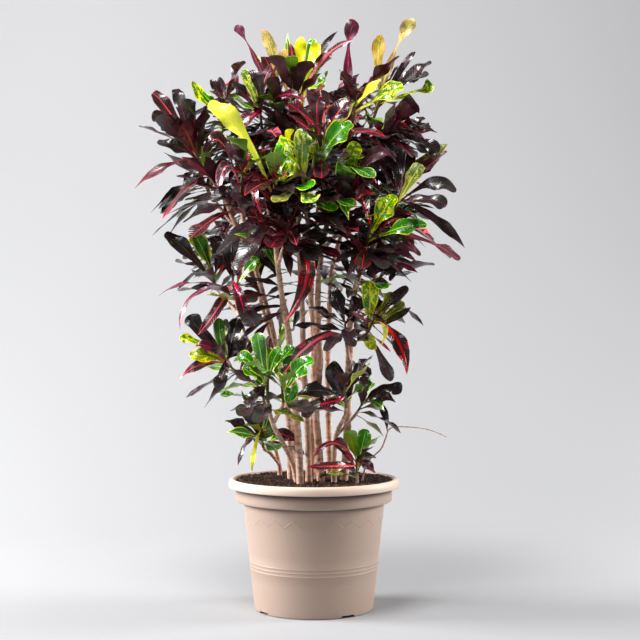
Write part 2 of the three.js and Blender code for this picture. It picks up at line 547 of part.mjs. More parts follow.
// The rings of one blade from its foot in the stem to its tip
function bladeRings(leaf, extra = 0) {
  const count = leaf.length > LONG_LEAF ? 4 : 3;
  const pitch = TIP_SHARE / count;
  const shares = Array.from({ length: count + 1 }, (_, k) => k * pitch);
  const [p0, p1, p2] = leaf.line;
  const half = LEAF_THICKNESS / 2 + extra;
  return shares.map((s) => {
    const middle = p0.clone().multiplyScalar((1 - s) ** 2)
      .addScaledVector(p1, 2 * s * (1 - s))
      .addScaledVector(p2, s * s);
    const heading = p1.clone().sub(p0).multiplyScalar(1 - s)
      .addScaledVector(p2.clone().sub(p1), s).normalize();
    const side = leaf.side.clone().addScaledVector(heading, -leaf.side.dot(heading)).normalize()
      .applyAxisAngle(heading, leaf.roll + leaf.twist * s);
    const normal = heading.clone().cross(side);
    const wide = leaf.width * widthShare(leaf.outline, s);
    const reach = wide / 2 + extra;
    const lift = leaf.wave * wide * Math.sin((Math.PI * (s - pitch / 2)) / pitch);
    if (s === 0) {
      return [half, -half].map((rise) => middle.clone().addScaledVector(normal, rise));
    }
    const corner = (a, b) => middle.clone()
      .addScaledVector(side, a * reach)
      .addScaledVector(normal, a * lift + b * half);
    return [corner(1, 1), corner(-1, 1), corner(-1, -1), corner(1, -1)];
  });
}

// A blade from a line at its foot, through its rings, to a point at its tip. Both faces are
// split alike, so that they stay apart where the blade waves. Its outer part alone starts at
// its first ring.
function bladeSolid(leaf, extra = 0, outerPart = false) {
  const [foot, ...rings] = bladeRings(leaf, extra);
  const [, bow, end] = leaf.line;
  const tip = end.clone().addScaledVector(end.clone().sub(bow).normalize(), extra);
  const places = [...(outerPart ? [] : foot), ...rings.flat(), tip];
  const ringAt = outerPart ? 0 : 2;
  const faces = outerPart ? [0, 3, 2, 0, 2, 1] : [
    0, 3, 2,
    1, 5, 4,
    0, 2, 5, 0, 5, 1,
    1, 4, 3, 1, 3, 0,
  ];
  for (let k = 0; k + 1 < rings.length; k += 1) {
    const [a, b, c, d] = [0, 1, 2, 3].map((n) => ringAt + n + 4 * k);
    const [e, f, g, h] = [a, b, c, d].map((n) => n + 4);
    faces.push(a, b, f, a, f, e, d, g, c, d, h, g, d, a, e, d, e, h, b, c, g, b, g, f);
  }
  const [a, b, c, d] = [0, 1, 2, 3].map((n) => ringAt + n + 4 * (rings.length - 1));
  const last = places.length - 1;
  faces.push(a, b, last, b, c, last, c, d, last, d, a, last);
  return solidOf(meshOf(places, faces));
}

// The leaves of a shoot. A spiral leaf opens out of the shoot's axis and droops, and an
// aimed leaf goes through its own places. Each comes with its ways to bend clear.
function leavesOf(row, number) {
  const [, , , , [spirals, length, width, tone], aimed] = row;
  const { places, start } = shootLine(row);
  const total = spirals + aimed.length;
  const leaves = [];
  for (let n = 0; n < total; n += 1) {
    const draw = seeded(number * 100 + n);
    const rise = (n + 0.5) / total;
    const foot = along(places, start + FEET.from + FEET.span * rise);
    const wave = WAVE_SHARE * (0.5 + 0.5 * draw()) * (draw() < 0.5 ? -1 : 1);
    const twist = (draw() - 0.5) * TWIST;
    if (n < aimed.length) {
      const aim = aimed[n];
      leaves.push(SHIFTS.map((shift) => aimedLeaf(aim, foot, wave, twist, shift)));
    } else {
      const axis = headingAt(places, start + 0.5);
      const draws = Array.from({ length: 6 }, draw);
      leaves.push(BENDS.map((bend) => spiralLeaf(
        { foot, axis, length, width, tone, wave, twist, rise, turn: n * SPIRAL, draws }, bend)));
    }
  }
  return leaves;
}

function aimedLeaf([tone, outline, width, roll, middle, tip], foot, wave, twist, shift) {
  const centre = seen([middle[0], middle[1], middle[2] + shift / 2]);
  const end = seen([tip[0], tip[1], tip[2] + shift]);
  const bow = centre.multiplyScalar(2).addScaledVector(foot, -0.5).addScaledVector(end, -0.5);
  const side = FACED.clone().cross(end.clone().sub(foot)).normalize();
  return {
    tone, outline, width, wave, side,
    aimed: true,
    twist: twist * 0.6,
    roll: THREE.MathUtils.degToRad(roll) - twist * 0.3,
    line: [foot, bow, end],
    length: foot.distanceTo(end),
  };
}

const spread = ([least, span], draw) => least + span * draw;

function spiralLeaf(way, [swing, opening, share]) {
  const { foot, axis, length, width, tone, wave, twist, rise, turn, draws } = way;
  const first = new THREE.Vector3(1, 0, 0).addScaledVector(axis, -axis.x).normalize();
  const azimuth = turn + draws[0] * OPENING.turn + THREE.MathUtils.degToRad(swing);
  const out = first.clone().applyAxisAngle(axis, azimuth);
  const open = OPENING.low + (OPENING.high - OPENING.low) * rise
    + (draws[1] - 0.5) * OPENING.jitter + THREE.MathUtils.degToRad(opening);
  const heading = axis.clone().multiplyScalar(Math.cos(open)).addScaledVector(out, Math.sin(open));
  const long = length * share * spread(LENGTH_SPREAD, draws[2]);
  const droop = spread(DROOP_SPREAD, draws[3]) * spread(DROOP_RISE, rise) * long;
  const bow = foot.clone().addScaledVector(heading, long * 0.5);
  const end = foot.clone().addScaledVector(heading, long).addScaledVector(UP, -droop);
  return {
    tone, wave, twist,
    outline: SPIRAL_OUTLINES[Math.floor(draws[4] * SPIRAL_OUTLINES.length)],
    width: width * spread(WIDTH_SPREAD, draws[5]),
    side: axis.clone().cross(out),
    roll: -twist * 0.5,
    line: [foot, bow, end],
    length: long,
  };
}

// Whether two boxes come near each other
function near(a, b) {
  return [0, 1, 2].every((i) => a.min[i] <= b.max[i] && b.min[i] <= a.max[i]);
}

function isClear(solid, others) {
  const box = solid.boundingBox();
  return others.every((other) => !near(box, other.box) || solid.intersect(other.solid).isEmpty());
}

const boxed = (solid) => ({ solid, box: solid.boundingBox() });

// A block that cuts the foot from below, from one radius to another
function cutBlock(width, height, from, to) {
  return new THREE.BoxGeometry(to - from, width, 2 * height).translate((from + to) / 2, 0, 0);
}

function potSolid() {
  const slope = (POT.bodyRadius - POT.footRadius) / (POT.bodyTop - FOOT_BEVEL);
  const taper = (z) => POT.footRadius + slope * (z - FOOT_BEVEL);
  const rows = [[0, 0], [POT.footRadius - FOOT_BEVEL, 0], [POT.footRadius, FOOT_BEVEL]];
  for (const z of RING_HEIGHTS) {
    const [low, high] = [z - RING_HALF, z + RING_HALF];
    rows.push([taper(low), low], [taper(z) + RELIEF, z], [taper(high), high]);
  }
  const zigzagFrom = rows.length;
  rows.push(
    [0, ZIGZAG.middle - ZIGZAG.half],
    [RELIEF, ZIGZAG.middle],
    [0, ZIGZAG.middle + ZIGZAG.half],
    [POT.bodyRadius, POT.bodyTop],
    [POT.collarRadius - 1, POT.collarBase],
    [POT.collarRadius, POT.lipBase],
    [POT.lipRadius - 4, POT.lipBase - 0.5],
    [POT.lipRadius, POT.lipBase + 9],
    [POT.lipRadius - 2.5, POT.height - 2.5],
    [POT.lipRadius - 7, POT.height],
    [POT.mouthRadius + 2.5, POT.height - 2],
    [POT.mouthRadius, POT.height - 8],
    [POT.throatRadius, POT.lipBase],
    [POT.throatRadius - 0.6, POT.collarBase + 1.5],
    [POT.bodyRadius - POT.wall, POT.bodyTop - 1],
    [POT.footRadius - POT.wall, POT.floor],
    [0, POT.floor],
  );
  const geometry = new THREE.LatheGeometry(rows.map(([r, z]) => new THREE.Vector2(r, z)), POT.sides);
  geometry.rotateX(Math.PI / 2);
  const position = geometry.getAttribute("position");
  for (let i = 0; i < position.count; i += 1) {
    const row = i % rows.length;
    const column = Math.floor(i / rows.length) % POT.sides;
    if (row >= zigzagFrom && row < zigzagFrom + 3) {
      const z = rows[row][1] + (column % 2 ? 1 : -1) * ZIGZAG.swing;
      const radius = taper(z) + rows[row][0];
      const angle = (column / POT.sides) * 2 * Math.PI;
      position.setXYZ(i, radius * Math.sin(angle), -radius * Math.cos(angle), z);
    }
  }
  let pot = solidOf(geometry);
  const notchFrom = POT.footRadius - NOTCH.depth;
  const cuts = [
    cutBlock(NOTCH.width, NOTCH.height, notchFrom, POT.footRadius + 9),
    cutBlock(DRAIN.channelWidth, DRAIN.channelHeight, DRAIN.ring, notchFrom + 1),
    new THREE.CylinderGeometry(DRAIN.radius, DRAIN.radius, 4 * POT.floor, 8)
      .rotateX(Math.PI / 2).rotateZ(0.2).translate(DRAIN.ring, 0, 0),
  ];
  for (const turn of NOTCH.turns) {
    for (const cut of cuts) {
      pot = pot.subtract(solidOf(cut.clone().rotateZ(turn)));
    }
  }
  return pot;
}

function soilSolid() {
  const rows = [
    [0, POT.floor + GAP],
    [POT.footRadius - POT.wall - 2 * GAP, POT.floor + GAP],
    [POT.bodyRadius - POT.wall - 2 * GAP, POT.bodyTop - 1 + GAP],
    [POT.throatRadius - 0.6 - 2 * GAP, POT.collarBase + 1.5 + 2 * GAP],
    [POT.throatRadius - 3 * GAP, POT.lipBase],
    [POT.mouthRadius - 4 * GAP, SOIL.rim],
    ...SOIL.rings,
    [0, SOIL.middle],
  ];
  const firstRing = rows.length - 1 - SOIL.rings.length;
  const geometry = new THREE.LatheGeometry(rows.map(([r, z]) => new THREE.Vector2(r, z)), SOIL.sides);
  geometry.rotateX(Math.PI / 2);
  const position = geometry.getAttribute("position");
  const draw = seeded(SOIL.seed);
  const heave = Array.from({ length: SOIL.sides * rows.length }, () => (draw() - 0.5) * 2 * SOIL.swell);
  for (let i = 0; i < position.count; i += 1) {
    const row = i % rows.length;
    const column = Math.floor(i / rows.length) % SOIL.sides;
    if (row >= firstRing && row < rows.length - 1) {
      position.setZ(i, rows[row][1] + heave[column * rows.length + row]);
    }
  }
  return solidOf(geometry);
}

const potted = new THREE.Group();

function place(name, solid, colour, roughness) {
  const material = new THREE.MeshStandardMaterial({ color: colour, roughness, metalness: 0 });
  const mesh = new THREE.Mesh(geometryOf(solid), material);
  mesh.name = name;
  potted.add(mesh);
}

const pot = potSolid();
const woods = new Map();
let soil = soilSolid();
for (const row of [...STEMS, TWIG]) {
  const rooted = !woods.has(row[0]);
  const wood = woodSolid(row, rooted);
  woods.set(row[0], rooted ? wood : woods.get(row[0]).add(wood));
  soil = rooted ? soil.subtract(holeFor(row)) : soil;
}
place("pot", pot, COLOURS.pot, ROUGHNESS.pot);
place("soil", soil, COLOURS.soil, ROUGHNESS.soil);
woods.forEach((wood, name) => place(name, wood, COLOURS.bark, ROUGHNESS.bark));

const stems = STEMS.map((row) => boxed(shootStem(row)));
const fixed = [pot, soil, ...woods.values()].map(boxed);
const shoots = [];
STEMS.forEach((row, number) => {
  const others = [...fixed, ...shoots, ...stems.slice(number + 1)];
  const [blades, outerParts] = [[], []];
  let shoot = stems[number].solid;
  for (const ways of leavesOf(row, number)) {
    for (const leaf of ways) {
      const fat = bladeSolid(leaf, LEAF_CLEARANCE);
      const clear = isClear(fat, others) && (leaf.aimed
        ? isClear(bladeSolid(leaf, LEAF_CLEARANCE, true), outerParts)
        : isClear(fat, blades));
      const joined = clear ? mainBody(shoot.add(bladeSolid(leaf))) : null;
      if (joined && wellSpaced(joined)) {
        blades.push(boxed(bladeSolid(leaf)));
        outerParts.push(boxed(bladeSolid(leaf, 0, true)));
        shoot = joined;
        break;
      }
    }
  }
  shoots.push(boxed(shoot));
  const tone = row[5].length > 2 ? row[5][1][0] : row[4][3];
  place(`shoot_${String(number + 1).padStart(2, "0")}`, shoot, COLOURS[tone], ROUGHNESS.leaf);
});

export default potted;
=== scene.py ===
"""A potted croton: a taupe plastic pot, dark soil, barked stems and waved glossy leaves."""

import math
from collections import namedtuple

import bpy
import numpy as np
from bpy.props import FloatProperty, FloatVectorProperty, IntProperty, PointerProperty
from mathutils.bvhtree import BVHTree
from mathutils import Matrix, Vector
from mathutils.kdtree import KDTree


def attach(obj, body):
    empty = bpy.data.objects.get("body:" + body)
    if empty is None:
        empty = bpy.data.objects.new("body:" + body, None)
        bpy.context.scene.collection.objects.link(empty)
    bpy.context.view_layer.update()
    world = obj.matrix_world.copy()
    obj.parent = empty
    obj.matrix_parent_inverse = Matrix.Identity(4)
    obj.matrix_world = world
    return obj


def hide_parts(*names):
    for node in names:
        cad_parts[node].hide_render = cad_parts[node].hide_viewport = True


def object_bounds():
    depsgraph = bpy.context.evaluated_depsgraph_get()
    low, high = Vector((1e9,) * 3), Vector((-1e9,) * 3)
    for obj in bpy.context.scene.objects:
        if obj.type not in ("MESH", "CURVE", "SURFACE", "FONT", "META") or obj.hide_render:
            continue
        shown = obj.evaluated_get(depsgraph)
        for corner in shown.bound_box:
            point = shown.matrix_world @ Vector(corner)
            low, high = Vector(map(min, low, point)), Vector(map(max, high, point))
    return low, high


bl_info = {
    "name": "Potted Croton",
    "version": (1, 0, 0),
    "blender": (4, 5, 0),
    "location": "View3D > Sidebar > Croton",
    "description": "Dresses the potted croton's frame with its pot, soil, stems and leaves",
    "category": "Object",
}

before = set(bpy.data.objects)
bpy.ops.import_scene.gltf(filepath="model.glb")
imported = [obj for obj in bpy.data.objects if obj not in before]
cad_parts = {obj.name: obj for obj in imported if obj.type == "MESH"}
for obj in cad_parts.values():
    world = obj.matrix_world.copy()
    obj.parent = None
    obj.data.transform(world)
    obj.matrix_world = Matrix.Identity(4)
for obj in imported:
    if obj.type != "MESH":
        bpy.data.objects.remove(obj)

CAD_BOX = [list(corner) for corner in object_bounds()]
BODY = "root"
MM = 0.001

# The front view that places the plant, as in the frame's source: [across, down] in its 640
# pixels and depth in millimetres behind the pot's axis.
VIEW = {"distance": 2735, "height": 565, "offset": 12, "focal": 1392, "centre": 320, "wide": 640}

# Leaves, in millimetres and radians. A pair is a least value and the span of a draw.
LONG_LEAF = 143
WAVE_SHARE = 0.3
TIP_SHARE = 0.88
TWIST = 1.6
FEET = {"from": 0.12, "span": 0.84}
SPIRAL = math.radians(137.5)
GOLDEN = 0.618
OPENING = {"low": 1.5, "high": 0.55, "jitter": 0.35, "turn": 0.5}
LENGTH_SPREAD = (0.78, 0.4)
WIDTH_SPREAD = (0.95, 0.35)
DROOP_SPREAD = (0.12, 0.4)
DROOP_RISE = (1.1, -0.6)
FACED = np.array([0.0, -0.8, 0.6])
UP = np.array([0.0, 0.0, 1.0])
GAP = 0.3
SHOOT_END = 1.5

# The finer blades: their fold along the rib, the frill of their rims as a share of the wave,
# half their thickness on the blade and more of it at its stalk, with the share of the length
# that the stalk takes, and the half width below which a blade gets thinner
FOLD = 0.1
FRILL = 0.4
FRILL_PACE = 1.7
BLADE_HALF = 0.4
PETIOLE = 0.22
PETIOLE_HALF = 0.9
THIN_BELOW = 1.2

# Where the vertices of a blade lie: across it, every how many of those its under side has,
# then stations on its body and in its tip. The frame's own leaves are the fine ones, and
# extra leaves are plain.
FINE = ([-1, -0.72, -0.36, 0, 0.36, 0.72, 1], 1, 15, 5)
PLAIN = ([-1, -0.5, 0, 0.5, 1], 2, 8, 4)

# A leaf of the frame has its tip within this of a corner of its node, in metres.
MATCH = 0.0002

# Where a coarse blade for tests starts and ends along its length, and its stations
TEST_SPAN = (0.3, 0.98, 9)

# Extra leaves: their length, width, wave and twist as shares of the shoot's leaves, how far
# down the wood below the shoot they start, how far they may stand out of the frame's box,
# the height above which a shoot gets all of them and the share that a lower one gets, and
# the tones that grow among each tone, on any lower shoot or as inner leaves
EXTRA_LENGTH = 0.92
EXTRA_WIDTH = 1.08
EXTRA_WAVE = 0.6
EXTRA_TWIST = 0.6
EXTRA_FEET = {"from": -0.55, "span": 1.5}
STAND_OUT = 5
EXTRAS_ABOVE = 730
LOW_SHARE = 0.2

# Inner leaves: every how many extra ones of a crown shoot is one, where its foot is as a
# share of the wood below, and its width as a share of the others
INNER_EVERY = 2
INNER_FEET = {"from": 0.5, "span": 0.45}
INNER_WIDTH = 0.6

EXTRA_TONES = {
    "dark": ["dark", "dark", "redrib", "dark", "green", "dark", "red", "dark", "redrib", "dark"],
    "redrib": ["redrib", "dark", "dark", "red", "redrib", "dark", "green", "dark", "dark", "dark"],
    "green": ["green", "dark", "redrib", "dark", "dark", "dark", "green", "dark", "olive", "dark"],
    "lime": ["lime", "green", "dark", "yellow", "olive", "dark", "dark", "dark", "dark", "dark"],
    "low": ["dark", "green", "dark", "dark", "dark", "green", "dark", "dark", "dark", "olive"],
    "inner": ["dark", "dark", "dark", "green", "dark", "dark", "dark", "redrib", "dark", "dark"],
}

# Leaf outlines: half widths along the blade as shares of the widest, then the share where
# the tip starts to close and the power it closes by.
OUTLINES = {
    "spoon": ([(0, 0.1), (0.12, 0.16), (0.32, 0.6), (0.6, 0.94), (0.84, 1), (1, 1)], 0.82, 0.5),
    "paddle": ([(0, 0.1), (0.2, 0.16), (0.42, 0.42), (0.66, 0.86), (0.84, 1), (1, 1)], 0.82, 0.5),
    "blade": ([(0, 0.1), (0.14, 0.26), (0.36, 0.86), (0.58, 1), (1, 0.8)], 0.55, 1),
    "waist": ([(0, 0.1), (0.14, 0.3), (0.36, 0.62), (0.62, 0.16), (0.8, 0.95), (1, 1)], 0.86, 0.5),
    "spindle": ([(0, 0.12), (0.26, 0.2), (0.5, 0.62), (0.7, 1), (1, 0.9)], 0.68, 0.8),
    "ribbon": ([(0, 0.12), (0.16, 0.42), (0.42, 0.85), (0.62, 1), (1, 0.6)], 0.62, 0.9),
}
SPIRAL_OUTLINES = ["spoon", "spoon", "blade", "spoon", "waist", "ribbon"]
EXTRA_OUTLINES = ["spoon", "paddle", "spoon", "blade", "spoon", "paddle"]

# Ways to bend a leaf clear: a turn round its shoot and a change of its opening, in degrees,
# and a share of its length. An aimed leaf moves its tip back or forward instead.
BENDS = [
    (0, 0, 1), (0, 10, 1), (0, -10, 1), (12, 0, 1), (-12, 0, 1), (12, 12, 1), (-12, 12, 1),
    (12, -12, 1), (-12, -12, 1), (0, 20, 0.95), (0, -20, 0.95), (24, 0, 0.9), (-24, 0, 0.9),
    (24, 18, 0.85), (-24, 18, 0.85), (0, 30, 0.8), (36, 0, 0.8), (-36, 0, 0.8), (0, 0, 0.7),
    (20, -20, 0.7), (-20, -20, 0.7), (40, 25, 0.65), (-40, 25, 0.65), (0, 0, 0.5),
]
SHIFTS = [0, 12, -12, 25, -25, 40, -40, 60, -60, 85, -85]

# Every row is one woody stem or branch and the leafy shoot at its end: the node of the
# wood, its radii at foot and end, its places from foot to end, the shoot's tip,
# [leaves, length, width, tone] for its spiral leaves, and its aimed leaves, each with tone,
# outline, width, roll in degrees, middle and tip.
STEMS = [
  ["trunk_01", [5, 3], [[280, 477, 100], [279, 464, 88], [274, 445, 66], [269, 425, 56],
    [264, 402, 52]],
    [261, 374, 48], [4, 105, 29, "green"], []],
  ["trunk_01", [3.4, 2.6], [[279, 464, 88], [270, 453, 44], [263, 447, 10]],
    [261, 424, -8], [1, 90, 26, "dark"], [
      ["dark", "spoon", 31, 0, [252, 418, -14], [243, 407, -20]],
      ["dark", "blade", 25, 10, [242, 426, -22], [224, 421, -30]],
      ["green", "blade", 22, -10, [244, 433, -34], [226, 432, -46]],
      ["green", "spoon", 22, 0, [265, 416, 4], [267, 402, 8]],
      ["redrib", "blade", 25, 0, [282, 434, -28], [301, 443, -40]],
      ["dark", "ribbon", 15, 20, [246, 444, -34], [238, 466, -40]],
      ["yellow", "ribbon", 9, 0, [254, 452, -40], [252, 472, -44]]]],
  ["trunk_02", [6.5, 3.6], [[297.5, 484.2, 0], [293, 464, -8], [283, 443, -28], [273, 424, -48],
    [268, 402, -70]],
    [268, 374, -86], [2, 100, 26, "green"], [
      ["green", "spoon", 29, 0, [261, 356, -92], [257, 333, -94]],
      ["green", "spoon", 26, 0, [253, 365, -92], [238, 355, -98]],
      ["green", "spoon", 29, 20, [254, 376, -104], [243, 367, -116]],
      ["green", "spoon", 24, 0, [273, 362, -92], [281, 348, -98]],
      ["dark", "spoon", 36, 10, [255, 396, -104], [243, 402, -116]]]],
  ["trunk_02", [4, 3], [[273, 424, -48], [280, 411, -66], [283, 402, -76]],
    [281, 380, -92], [3, 100, 29, "green"], [
      ["green", "spoon", 36, 0, [297, 371, -108], [314, 361, -118]],
      ["green", "spoon", 29, 0, [291, 388, -112], [287, 402, -120]]]],
  ["trunk_03", [7, 3.6], [[291, 481.7, 45], [290, 453, 44], [288, 411, 40], [280, 367, 28],
    [272, 328, 20],
    [262, 290, 14], [250, 250, 8], [243, 218, -18], [241, 200, -44]],
    [243, 166, -72], [3, 125, 29, "redrib"], [
      ["redrib", "spoon", 29, 0, [222, 143, -86], [204, 153, -98]],
      ["redrib", "spoon", 26, 0, [228, 166, -94], [219, 186, -104]],
      ["dark", "spoon", 26, 0, [226, 190, -80], [212, 202, -88]]]],
  ["trunk_03", [4.6, 3.2], [[280, 367, 28], [262, 353, 16], [247, 340, 8], [240, 315, 0],
    [236, 300, -12]],
    [232, 276, -26], [1, 120, 29, "dark"], [
      ["maroon", "spoon", 26, 0, [243, 258, -30], [247, 240, -30]],
      ["green", "spoon", 24, 0, [248, 268, -42], [259, 259, -48]],
      ["maroon", "ribbon", 12, 30, [190, 283, -20], [157, 297, -20]],
      ["maroon", "ribbon", 16, 20, [193, 296, -42], [180, 330, -48]],
      ["redrib", "blade", 25, 0, [216, 311, -52], [198, 335, -58]],
      ["redrib", "spoon", 26, 0, [240, 296, -58], [244, 313, -62]]]],
  ["trunk_03", [3.4, 2.6], [[262, 353, 16], [247, 366, -4], [236, 371, -20]],
    [224, 358, -32], [0, 100, 26, "dark"], [
      ["dark", "spoon", 31, 0, [204, 335, -36], [189, 315, -36]],
      ["lime", "spoon", 19, 0, [199, 343, -44], [180, 340, -48]],
      ["maroon", "blade", 22, 0, [209, 347, -52], [195, 347, -58]],
      ["olive", "spoon", 31, 0, [207, 356, -54], [190, 358, -62]],
      ["redrib", "blade", 20, 0, [202, 364, -60], [179, 379, -66]],
      ["green", "spoon", 24, 0, [221, 340, -38], [219, 318, -36]],
      ["dark", "spoon", 29, 0, [232, 340, -24], [238, 318, -20]],
      ["dark", "blade", 22, 20, [239, 348, -20], [246, 333, -14]],
      ["dark", "spoon", 24, 0, [224, 372, -50], [216, 389, -56]]]],
  ["trunk_03", [3.4, 2.6], [[240, 315, 0], [227, 301, 24], [217, 290, 34]],
    [211, 267, 40], [2, 115, 29, "dark"], [
      ["dark", "spoon", 31, 0, [186, 250, 30], [164, 235, 24]],
      ["green", "spoon", 30, 20, [203, 250, 34], [190, 228, 28]],
      ["dark", "spoon", 26, 0, [219, 256, 30], [214, 236, 30]]]],
  ["trunk_04", [7.5, 4], [[300.5, 486.8, -40], [299, 453, -38], [296, 411, -36], [292, 370, -33],
    [288, 331, -30],
    [283, 304, -28], [278, 266, -26], [276, 243, -30], [276, 222, -48], [276, 208, -68]],
    [274, 178, -104], [2, 125, 29, "redrib"], [
      ["yellow", "paddle", 40, -10, [242, 133, -118], [208, 104, -124]],
      ["redrib", "ribbon", 18, 20, [256, 190, -126], [262, 215, -134]],
      ["green", "spoon", 26, 0, [280, 160, -116], [285, 137, -118]],
      ["lime", "spoon", 30, 0, [286, 172, -124], [296, 156, -134]]]],
  ["trunk_04", [3.6, 3], [[278, 266, -26], [282, 252, -50], [286, 243, -66]],
    [288, 224, -84], [4, 110, 26, "redrib"], [
      ["red", "blade", 30, 0, [308, 270, -118], [284, 324, -112]]]],
  ["trunk_04", [4, 3.2], [[276, 243, -30], [267, 200, -12], [264, 165, -6], [262, 130, -12]],
    [258, 98, -20], [2, 115, 26, "redrib"], [
      ["lime", "spoon", 24, 0, [251, 86, -24], [242, 71, -26]],
      ["dark", "spoon", 24, 0, [259, 84, -36], [248, 74, -44]],
      ["dark", "spoon", 26, 0, [243, 93, -34], [232, 85, -42]],
      ["redrib", "ribbon", 20, 0, [286, 94, -48], [305, 103, -62]],
      ["redrib", "spoon", 26, 0, [256, 113, -52], [238, 123, -64]]]],
  ["trunk_05", [6.5, 3.4], [[309, 483.8, 10], [308, 440, 10], [305, 390, 10], [303, 339, 12],
    [302, 300, 14],
    [299, 250, 18], [298, 205, 14], [297, 165, 0], [295, 130, -14]],
    [293, 90, -24], [3, 115, 26, "redrib"], [
      ["green", "ribbon", 14, 40, [288, 62, -26], [288, 33, -26]],
      ["ochre", "spindle", 24, 0, [283, 72, -36], [286, 48, -40]],
      ["red", "blade", 18, 20, [293, 66, -22], [290, 43, -20]]]],
  ["trunk_05", [3.8, 3], [[299, 250, 18], [307, 228, -26], [306, 214, -66], [305, 200, -92]],
    [303, 164, -124], [2, 120, 31, "lime"], [
      ["lime", "spoon", 36, 0, [302, 150, -138], [307, 132, -144]],
      ["green", "spoon", 42, 0, [331, 141, -132], [352, 123, -132]],
      ["lime", "spoon", 32, 0, [291, 153, -140], [279, 140, -150]]]],
  ["trunk_06", [7, 3.6], [[312, 481, 60], [313, 440, 55], [315, 390, 50], [316, 339, 46],
    [311, 304, 45],
    [309, 241, 46], [307, 200, 50], [305, 160, 50], [303, 125, 45]],
    [302, 82, 38], [1, 110, 26, "redrib"], [
      ["yellow", "spindle", 24, 0, [300, 60, 28], [302, 37, 26]],
      ["yellow", "spindle", 27, 0, [311, 62, 18], [321, 46, 12]],
      ["green", "spoon", 19, 0, [309, 58, 46], [313, 39, 50]],
      ["dark", "ribbon", 15, 20, [318, 56, 58], [338, 31, 62]],
      ["red", "ribbon", 22, 0, [326, 56, 14], [353, 41, 2]],
      ["green", "spoon", 22, 0, [319, 84, 8], [328, 71, 0]]]],
  ["trunk_06", [3.8, 3], [[309, 241, 46], [290, 215, 82], [278, 192, 102]],
    [270, 152, 112], [4, 125, 29, "dark"], []],
  ["trunk_06", [3.6, 2.8], [[307, 200, 50], [316, 172, 88], [324, 150, 110]],
    [328, 106, 122], [4, 120, 29, "redrib"], []],
  ["trunk_06", [3.4, 2.6], [[305, 160, 50], [290, 141, 22], [282, 122, 8]],
    [277, 86, 0], [2, 115, 26, "dark"], [
      ["maroon", "waist", 22, 20, [252, 52, 0], [235, 26, -4]],
      ["ochre", "spindle", 26, 0, [274, 60, 0], [262, 29, -2]],
      ["green", "blade", 17, 0, [262, 70, -10], [257, 56, -14]]]],
  ["trunk_07", [8, 3.6], [[321, 482.6, 30], [318, 440, 28], [316, 411, 25], [320, 360, 20],
    [318, 331, 10],
    [318, 290, 4], [322, 250, 0], [330, 210, -10], [338, 175, -14], [350, 132, 0]],
    [357, 92, 8], [3, 115, 29, "redrib"], [
      ["maroon", "waist", 30, 0, [348, 56, 6], [355, 20, 4]],
      ["olive", "spoon", 42, 0, [347, 103, -34], [336, 122, -46]],
      ["lime", "spoon", 38, 0, [385, 94, -22], [403, 85, -30]],
      ["yellow", "ribbon", 18, 0, [369, 90, -14], [381, 79, -18]]]],
  ["trunk_07", [4, 3], [[322, 250, 0], [334, 238, -42], [343, 229, -68]],
    [347, 192, -94], [2, 115, 29, "redrib"], [
      ["maroon", "spoon", 26, 0, [368, 160, -114], [396, 162, -126]],
      ["redrib", "ribbon", 20, 0, [360, 174, -128], [377, 184, -140]],
      ["green", "ribbon", 20, 20, [345, 204, -126], [349, 221, -132]],
      ["lime", "spoon", 29, 0, [350, 165, -106], [358, 143, -110]]]],
  ["trunk_07", [3.8, 2.8], [[330, 210, -10], [323, 184, -56], [322, 166, -86]],
    [325, 130, -118], [3, 120, 29, "redrib"], [
      ["redrib", "spoon", 29, 0, [317, 112, -134], [322, 96, -138]],
      ["redrib", "blade", 25, 0, [355, 132, -128], [386, 137, -128]]]],
  ["trunk_08", [6.5, 3.4], [[330, 479.4, 85], [329, 440, 80], [328, 390, 70], [328, 343, 60],
    [330, 300, 56],
    [332, 270, 56], [341, 235, 60], [352, 195, 60], [361, 160, 48], [371, 126, 26]],
    [384, 90, 8], [2, 115, 29, "dark"], [
      ["ochre", "waist", 25, 0, [393, 56, 8], [414, 19, 4]],
      ["dark", "ribbon", 14, 20, [402, 68, 0], [416, 52, -4]],
      ["dark", "paddle", 31, 0, [407, 80, -2], [431, 61, -8]],
      ["lime", "paddle", 26, 0, [412, 93, -16], [434, 86, -26]],
      ["ochre", "spindle", 28, 0, [378, 60, 16], [381, 34, 16]]]],
  ["trunk_08", [3.8, 2.8], [[341, 235, 60], [360, 214, 70], [376, 198, 74]],
    [398, 162, 62], [4, 120, 31, "dark"], [
      ["olive", "blade", 26, 0, [428, 157, 50], [448, 144, 44]]]],
  ["trunk_08", [3.6, 2.8], [[352, 195, 60], [346, 168, 118], [346, 150, 140]],
    [345, 112, 158], [4, 120, 29, "dark"], []],
  ["trunk_08", [3.4, 2.6], [[361, 160, 48], [372, 150, 14], [381, 142, -4]],
    [395, 123, -24], [2, 110, 29, "dark"], [
      ["redrib", "blade", 20, 0, [402, 113, -42], [421, 114, -50]],
      ["dark", "spoon", 24, 0, [410, 126, -30], [424, 117, -34]],
      ["dark", "blade", 25, 0, [416, 128, -18], [438, 133, -16]],
      ["dark", "spoon", 29, 0, [418, 139, -32], [439, 152, -36]]]],
  ["trunk_09", [5.5, 3.4], [[334, 485, -10], [334, 465, -12], [336, 436, -20], [344, 418, -30],
    [346, 408, -36]],
    [344, 386, -48], [3, 100, 29, "dark"], [
      ["dark", "spoon", 38, 0, [335, 379, -54], [339, 364, -56]],
      ["dark", "blade", 31, 0, [320, 390, -72], [294, 397, -84]],
      ["redrib", "blade", 25, 0, [326, 403, -78], [305, 406, -88]]]],
  ["trunk_09", [3.2, 2.4], [[336, 436, -20], [349, 422, 0], [358, 411, 14]],
    [367, 394, 22], [1, 90, 26, "dark"], [
